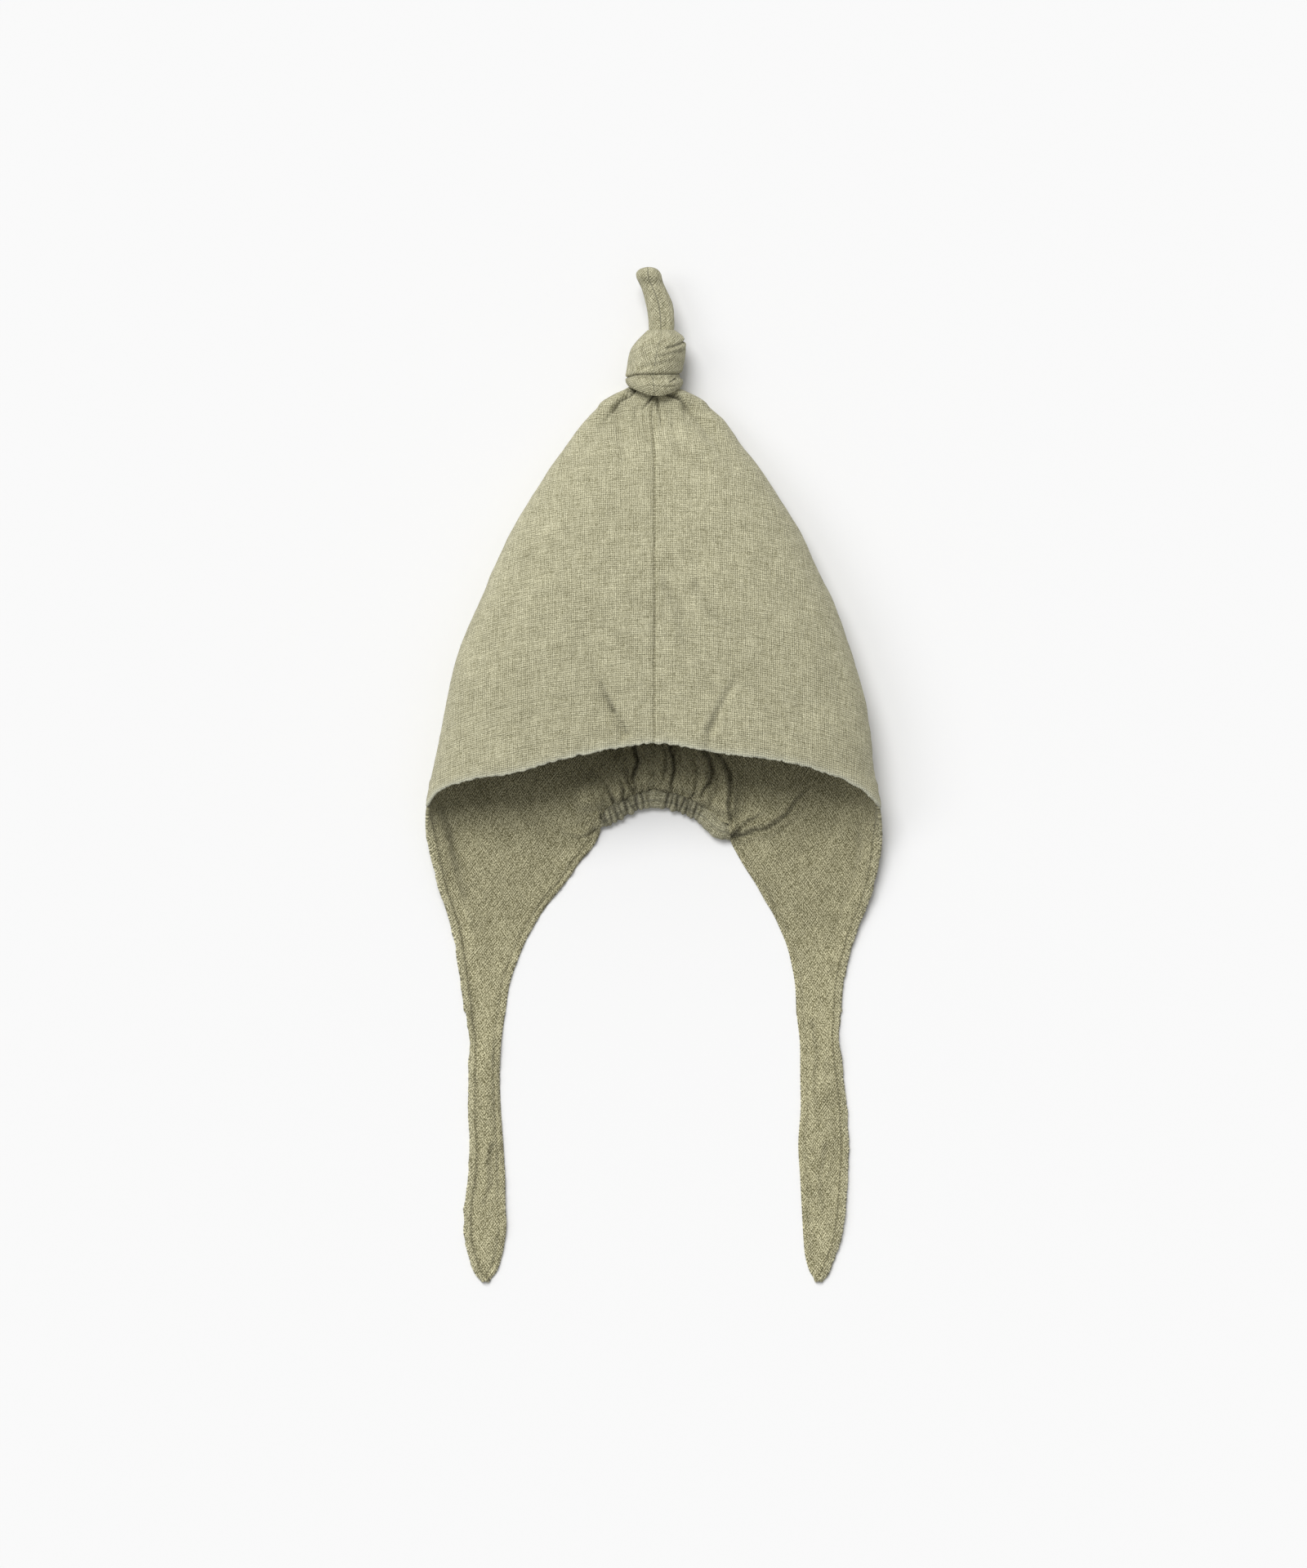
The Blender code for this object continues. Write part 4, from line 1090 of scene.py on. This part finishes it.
def nape_casing(material):
    """Elastic channel at the nape, puckered by the elastic. Its ends run on a little under the cloth."""
    share = np.linspace(0, 1, CASING_RINGS)[:, None]
    x = mix(-casing_reach(LEFT) - 0.6 * MM, casing_reach(RIGHT) + 0.9 * MM, share)
    middle = nape_line(x)
    slope = np.gradient(middle[:, 0], x[:, 0])[:, None]
    length = np.sqrt(1 + slope**2)
    angle = ring_angles(CASING_SIDES)
    up, front = np.sin(angle), np.cos(angle)
    pinch = np.zeros((CASING_RINGS, CASING_SIDES))
    for fold in PINCHES:
        bent = fold.across + fold.lean * up + 0.25 * np.sin(2.4 * up + fold.across)
        away = np.abs(x / MM - bent) / fold.width
        pinch += fold.depth * (0.75 * np.exp(-(away**1.4)) + 0.4 * bell(away, 2))
    swell = 0.12 * np.sin(x / MM * 2.3) + 0.1 * np.sin(x / MM * 1.1 + 1)
    from_right = np.clip((1 - share) * 18, 0, 1)
    ends = ease(share * 18) * np.sqrt(1 - (1 - from_right) ** 2)
    tuck = pinch * (0.35 + 0.7 * np.maximum(-up, 0))
    high = (CASING_HEIGHT / 2 + (0.4 + swell * 0.8 - tuck) * MM) * mix(0.50, 1.0, ends)
    deep = (CASING_THICKNESS / 2 + (0.9 + swell - pinch * (1.1 + 1.1 * front)) * MM) * mix(0.30, 1.0, ends)
    offset = high * np.sign(up) * np.abs(up) ** 0.8
    z = CASING_THICKNESS / 2 + deep * front
    rings = stacked(x - slope / length * offset, middle + offset / length, z)
    rings += crumple(rings, 12)[..., None] * 0.35 * np.array([0, 1, 1])
    rings += noise(rings, 1.4 * MM, 14)[..., None] * 0.22 * MM * np.array([0, 1, 1])
    rings[..., 2] = np.maximum(rings[..., 2], FLOOR_GAP)
    # Painted shade in the pinches of the casing
    tone = 0.91 * (1 - 0.45 * np.clip(pinch, 0, 1) ** 2)
    maps = tube_maps(x * GATHER_FULLNESS, angle * CASING_HEIGHT / 2, tone, lining=0.8)
    return tube_mesh("gathered_casing", rings, maps, material)


def knot_rise(turn, up):
    """Height of the knot's wraps and creases above its plain form, in metres."""
    total = np.zeros(np.broadcast(turn, up).shape)
    around = math.pi * (KNOT_WIDTH + KNOT_DEPTH) / 2 / MM
    tall = KNOT_LENGTH / MM
    for crease in KNOT_CREASES:
        start = np.array([crease.turn_from * around, crease.up_from * tall])
        run = np.array([crease.turn_to * around, crease.up_to * tall]) - start
        for lap in (-1, 0, 1):
            offset = stacked((turn + lap) * around, up * tall) - start
            share = offset @ run / (run @ run)
            near = np.clip(share, 0, 1)
            away = np.linalg.norm(offset - near[..., None] * run, axis=-1)
            signed = offset @ np.array([-run[1], run[0]]) / np.linalg.norm(run)
            fade = bell(np.abs(share - near) * np.linalg.norm(run), 1.5)
            wrap = bell(signed - 1.3, 1.8) * ((signed > 0) & (signed < 8)) * (1 - bell(signed, 0.8))
            total += 0.45 * crease.step * fade * wrap - crease.depth * bell(away, crease.width)
    return total * MM


def tube_form(table, count, shift, width, depth):
    """Rings of a tube by its table: share of the length, shift, half width and half depth."""
    up = np.linspace(0, 1, count)[:, None]
    half = (width / 2 * read(table, "width", up), depth / 2 * read(table, "depth", up))
    return up, shift * read(table, "shift", up), *half


def top_knot(material):
    """Knot that the tops of the two panels are tied in."""
    up, shift, wide, deep = tube_form(KNOT_PROFILE, KNOT_RINGS, KNOT_WIDTH, KNOT_WIDTH, KNOT_DEPTH)
    angle = ring_angles(KNOT_SIDES)
    turn = (angle / (2 * math.pi) + 0.5) % 1 - 0.5
    creases = knot_rise(turn, up)
    rise = creases * ease(up * 12) * ease((1 - up) * 10)
    z = KNOT_MIDDLE + (deep + rise) * np.cos(angle)
    lean = (foot_y(z) - HOOD_LENGTH) * (1 - ease(up * 1.6))
    point = 3.2 * MM * (1 - ease(np.abs(turn - 0.015) / 0.22))
    foot = (KNOT_FOOT_RISE + 1.2 * MM - point) * (1 - ease(up * 2.6))
    y = HOOD_LENGTH + up * KNOT_LENGTH + lean + foot
    rings = stacked(shift + (wide + rise) * np.sin(angle), y, z)
    rings += crumple(rings, 31)[..., None] * 0.5 * stacked(np.sin(angle), 0.0, np.cos(angle))
    rings[..., 2] = np.maximum(rings[..., 2], FLOOR_GAP)
    # Painted shade down in the knot's creases
    tone = 1 - 0.45 * np.clip(-creases / (1.2 * MM), 0, 1)
    maps = tube_maps(angle * KNOT_WIDTH / 2, up * KNOT_LENGTH, tone, turn=KNOT_GRAIN_TURN)
    return tube_mesh("wrapped_knot", rings, maps, material)


def knot_tail(material):
    """Free end above the knot: a flattened roll of cloth that leans to the left."""
    up, lean, wide, deep = tube_form(TAIL_PROFILE, TAIL_RINGS, TAIL_LEAN, TAIL_WIDTH, TAIL_DEPTH)
    angle = ring_angles(TAIL_SIDES)
    across, front = np.sin(angle), np.cos(angle)
    middle = KNOT_WIDTH * read(KNOT_PROFILE, "shift", 1.0) - lean
    groove = 0.5 * MM * bell(across - 0.35, 0.12) * (front > 0) * ease((0.8 - up) * 3)
    rings = stacked(
        middle + wide * np.sign(across) * np.abs(across) ** 0.85,
        HOOD_LENGTH + KNOT_LENGTH - 0.6 * MM + up * (TAIL_LENGTH + 0.4 * MM),
        KNOT_MIDDLE + (deep - groove) * front,
    )
    rings += crumple(rings, 41)[..., None] * 0.6 * np.array([1, 0, 1])
    # Painted shade: a dark band below the tail's rounded tip
    tone = 1 - 0.16 * bell(up - 0.77, 0.06)
    maps = tube_maps(angle * TAIL_WIDTH / 2, up * TAIL_LENGTH, tone, turn=TAIL_GRAIN_TURN)
    return tube_mesh("tail", rings, maps, material)


class Value:
    """A number or vector that a node gives. Arithmetic with it adds Math nodes."""

    def __init__(self, shader, socket):
        self.shader = shader
        self.socket = socket

    def __add__(self, other):
        return self.shader.calc("ADD", self, other)

    def __sub__(self, other):
        return self.shader.calc("SUBTRACT", self, other)

    def __rsub__(self, other):
        return self.shader.calc("SUBTRACT", other, self)

    def __mul__(self, other):
        return self.shader.calc("MULTIPLY", self, other)

    def __truediv__(self, other):
        return self.shader.calc("DIVIDE", self, other)

    def __pow__(self, other):
        return self.shader.calc("POWER", self, other)

    __radd__ = __add__
    __rmul__ = __mul__


class Shader:
    """Small helper that adds and links a material's nodes."""

    def __init__(self, name, **settings):
        self.material = bpy.data.materials.new(name)
        self.material.use_nodes = True
        self.tree = self.material.node_tree
        self.bsdf = self.tree.nodes["Principled BSDF"]
        self.fill(self.bsdf, **settings)

    def node(self, kind, **settings):
        made = self.tree.nodes.new(kind)
        for key, value in settings.items():
            setattr(made, key, value)
        return made

    def put(self, value, socket):
        """Links a value to a socket, or sets a plain number or colour on it."""
        if isinstance(value, Value):
            self.tree.links.new(value.socket, socket)
        else:
            socket.default_value = (*value, 1.0) if isinstance(value, tuple) else value

    def fill(self, node, **inputs):
        """Puts values into a node's inputs, by names with _ for a space, and gives its first output."""
        for title, value in inputs.items():
            self.put(value, node.inputs[title.replace("_", " ")])
        return Value(self, node.outputs[0])

    def feed(self, kind, values, **settings):
        """First output of a new node whose inputs take the values in their order."""
        made = self.node(kind, **settings)
        for value, socket in zip(values, made.inputs):
            self.put(value, socket)
        return Value(self, made.outputs[0])

    def calc(self, operation, *values):
        return self.feed("ShaderNodeMath", values, operation=operation)

    def clamp(self, value, low, high):
        return self.calc("MINIMUM", self.calc("MAXIMUM", value, low), high)

    def bell(self, away, width):
        off = away / width
        return self.calc("POWER", math.e, off * off * -1.0)

    def wave(self, value, length):
        return self.calc("SINE", value * (2 * math.pi / length))

    def vector(self, x, y, z=0.0):
        return self.feed("ShaderNodeCombineXYZ", (x, y, z))

    def uv_map(self, name):
        """A UV map as a vector, and its two values."""
        vector = self.feed("ShaderNodeUVMap", (), uv_map=name)
        parts = self.node("ShaderNodeSeparateXYZ")
        self.put(vector, parts.inputs[0])
        return vector, *(Value(self, parts.outputs[k]) for k in (0, 1))

    def noise(self, place, scale, detail=2.0, rough=0.5):
        made = self.node("ShaderNodeTexNoise", noise_dimensions="3D")
        return self.fill(made, Vector=place, Scale=scale, Detail=detail, Roughness=rough)

    def blend(self, share, first, second, way="MIX"):
        made = self.node("ShaderNodeMix", data_type="RGBA", blend_type=way, clamp_factor=False)
        for value, socket in ((share, 0), (first, 6), (second, 7)):
            self.put(value, made.inputs[socket])
        return Value(self, made.outputs[2])


def cotton(name, tone=1.0, panel=True):
    """Crinkled slub weave: uneven threads both ways and pinholes between them.

    A panel also has its centre seam, the hem's stitch line with painted shade in its groove, frayed edges
    and a duller lining.
    """
    s = Shader(name, Roughness=0.95, Specular_IOR_Level=0.15, Sheen_Weight=0.12, Sheen_Roughness=0.6)
    thin, full, pit, frayed = (tuple(c * tone for c in color) for color in CLOTH_COLORS)
    grain, u, v = s.uv_map("Grain")
    _, shade, lining = s.uv_map("Tone")

    sway = s.noise(grain, 170)
    a = (u + sway * SWAY) / THREAD_PITCH
    b = (v + s.noise(s.vector(v, u, 0.37), 190) * SWAY) / (THREAD_PITCH * 0.94)
    warp = s.calc("ABSOLUTE", s.wave(a, 2))
    weft = s.calc("ABSOLUTE", s.wave(b, 2))
    slub_u = s.noise(s.vector(a, b * 0.07), 1.0, 1.5)
    slub_v = s.noise(s.vector(a * 0.06, b, 3.7), 1.0, 1.5)
    rib_u = s.noise(s.vector(u / (1.1 * MM), v / (20 * MM), 1.3), 1.0, 1.0)
    rib_v = s.noise(s.vector(u / (20 * MM), v / (1.2 * MM), 5.1), 1.0, 1.0)
    dash_u = s.noise(s.vector(a, b * 0.09, 9.2), 2.1, 0.5)
    dash_v = s.noise(s.vector(a * 0.09, b, 4.4), 2.1, 0.5)
    slubs = slub_u + slub_v - 1.0
    ribs = rib_u + rib_v - 1.0
    dashes = dash_u + dash_v - 1.0
    mottle = s.noise(grain, 330, 3.0, 0.6)
    speck = s.noise(grain, 1150, 1.0)
    grit = s.noise(grain, 1700, 1.0)
    cloud = s.noise(grain, 75, 3.0, 0.55)

    broad = (ribs * 0.16 + slubs * 0.32 + (mottle - 0.5) * 0.1) * (1.0 - lining * 0.65)
    fine = (speck - 0.5) * 0.2 + dashes * (lining * 0.35 + 1.0) + (grit - 0.5) * (lining * 3.0 + 2.4)
    gain = lining * 0.15 + 1.0 if panel else 1.2
    color = s.blend(s.clamp((broad + fine) * gain + 0.53, -0.4, 1.45), thin, full)
    gap_u = (1.0 - warp) ** 1.6
    gap_v = (1.0 - weft) ** 1.6
    hole = gap_u * gap_v
    dark = (hole * 1.3 + s.calc("MAXIMUM", gap_u, gap_v) * 0.20) * s.clamp(cloud * 3.2 - 0.7, 0.25, 1.6)
    color = s.blend(s.calc("MINIMUM", dark, 0.85), color, pit)
    relief = (warp + weft) * 0.55 + slubs * 0.45 - hole * 0.6
    relief = relief + cloud * 0.6 + mottle * 0.35 + ribs * 0.25 + speck * 0.3 + dashes * 0.9

    if panel:
        _, run, away = s.uv_map("Edge")
        # Lining tinted warmer: painted bounce light
        color = s.blend(lining, color, LINING_BOUNCE_TINT, "MULTIPLY")
        # Stitch groove: sunk in the relief, and darkened in dots as painted shade
        trench = s.bell(away - STITCH_LINE, 0.5 * MM) * lining
        dots = s.wave(run, STITCH_PITCH) * 0.38 + 0.56
        color = s.blend(trench * dots, color, pit)
        fray = s.calc("POWER", math.e, away / (-1.3 * MM)) * (0.55 - lining * 0.45)
        color = s.blend(fray, color, frayed)
        seam = s.bell(u + (sway - 0.5) * SWAY, 0.42 * MM) * (s.wave(v, 1.7 * MM) * 0.35 + 0.75)
        color = s.blend(seam * (1.0 - lining) * 0.7, color, pit)
        relief = relief - trench * 0.8

    # Base colour times the Tone map: painted shade of creases, pinches, grooves and the hood's shadow, and
    # a painted highlight on the left rim
    shaded = s.fill(s.node("ShaderNodeVectorMath", operation="SCALE"), Vector=color, Scale=shade)
    bump = s.fill(s.node("ShaderNodeBump"), Strength=0.8, Distance=0.30 * MM, Height=relief)
    s.fill(s.bsdf, Base_Color=shaded, Normal=bump)
    return s.material


def thread_material():
    s = Shader("sewing_thread", Roughness=0.8)
    twist = s.noise(s.uv_map("Grain")[0], 3000)
    # Thread coloured dark: painted shade around the stitches
    s.fill(s.bsdf, Base_Color=s.blend(twist, (0.12, 0.11, 0.06), (0.25, 0.235, 0.14)))
    return s.material


def floor():
    """White surface that the bonnet lies on."""
    reach = 3.0
    corners = [(-reach, -reach, 0), (reach, -reach, 0), (reach, reach, 0), (-reach, reach, 0)]
    mesh = bpy.data.meshes.new("floor")
    mesh.from_pydata(corners, [], [(0, 1, 2, 3)])
    white = (0.865, 0.865, 0.865)
    paint = Shader("white_surface", Base_Color=white, Roughness=0.9, Specular_IOR_Level=0.1)
    mesh.materials.append(paint.material)
    add_object("floor", mesh)


def lights():
    """White surroundings and two soft lamps: one high on the knot's side, and a weak one from the left."""
    world = bpy.data.worlds.new("studio")
    world.use_nodes = True
    world.node_tree.nodes["Background"].inputs[0].default_value = (1, 1, 1, 1)
    world.node_tree.nodes["Background"].inputs[1].default_value = 0.36
    bpy.context.scene.world = world
    for name, place, width, energy in (
        ("softbox", (-0.58, 1.35, 2.0), 34, 2.5),
        ("side_softbox", (-2.0, 0.5, 1.7), 30, 0.5),
    ):
        light = bpy.data.lights.new(name, "SUN")
        light.angle = math.radians(width)
        light.energy = energy
        lamp = add_object(name, light)
        lamp.location = place
        lamp.rotation_euler = (-lamp.location).to_track_quat("-Z", "Y").to_euler()


def camera():
    """Long lens straight above, framed as the photo is."""
    lens = bpy.data.cameras.new("camera")
    lens.sensor_fit = "HORIZONTAL"
    lens.sensor_width = 36
    lens.lens = lens.sensor_width * CAMERA_HEIGHT / (PIXEL * PHOTO_WIDTH)
    lens.clip_end = 20
    eye = add_object("camera", lens)
    across = (PHOTO_WIDTH / 2 - MIDDLE_COLUMN) * PIXEL
    up = (CORNER_ROW - PHOTO_HEIGHT / 2) * PIXEL
    eye.location = (SHIFT[0] + across, SHIFT[1] + up, CAMERA_HEIGHT)
    bpy.context.scene.camera = eye
    view = bpy.context.scene.view_settings
    view.view_transform = "Standard"
    view.look = "None"
    view.exposure = 0.0


sage = cotton("sage_cotton")
gathered = cotton("gathered_sage_cotton", 0.97, panel=False)
wrapped = cotton("wrapped_sage_cotton", panel=False)

lines = []
for side in (LEFT, RIGHT):
    panel, line = crown_panel(side, sage)
    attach(panel, "root")
    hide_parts("crown_" + hand(side), "tie_" + hand(side))
    lines.append(line)

stitches = stitches_mesh("hem_stitches", lines, thread_material())
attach(stitches, "root")

for piece, node, slot in (
    (nape_casing(gathered), "nape_casing", "gathered_cotton"),
    (top_knot(wrapped), "top_knot", "cotton"),
    (knot_tail(wrapped), "knot_tail", "cotton"),
):
    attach(piece, "root")
    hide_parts(node)

floor()
lights()
camera()
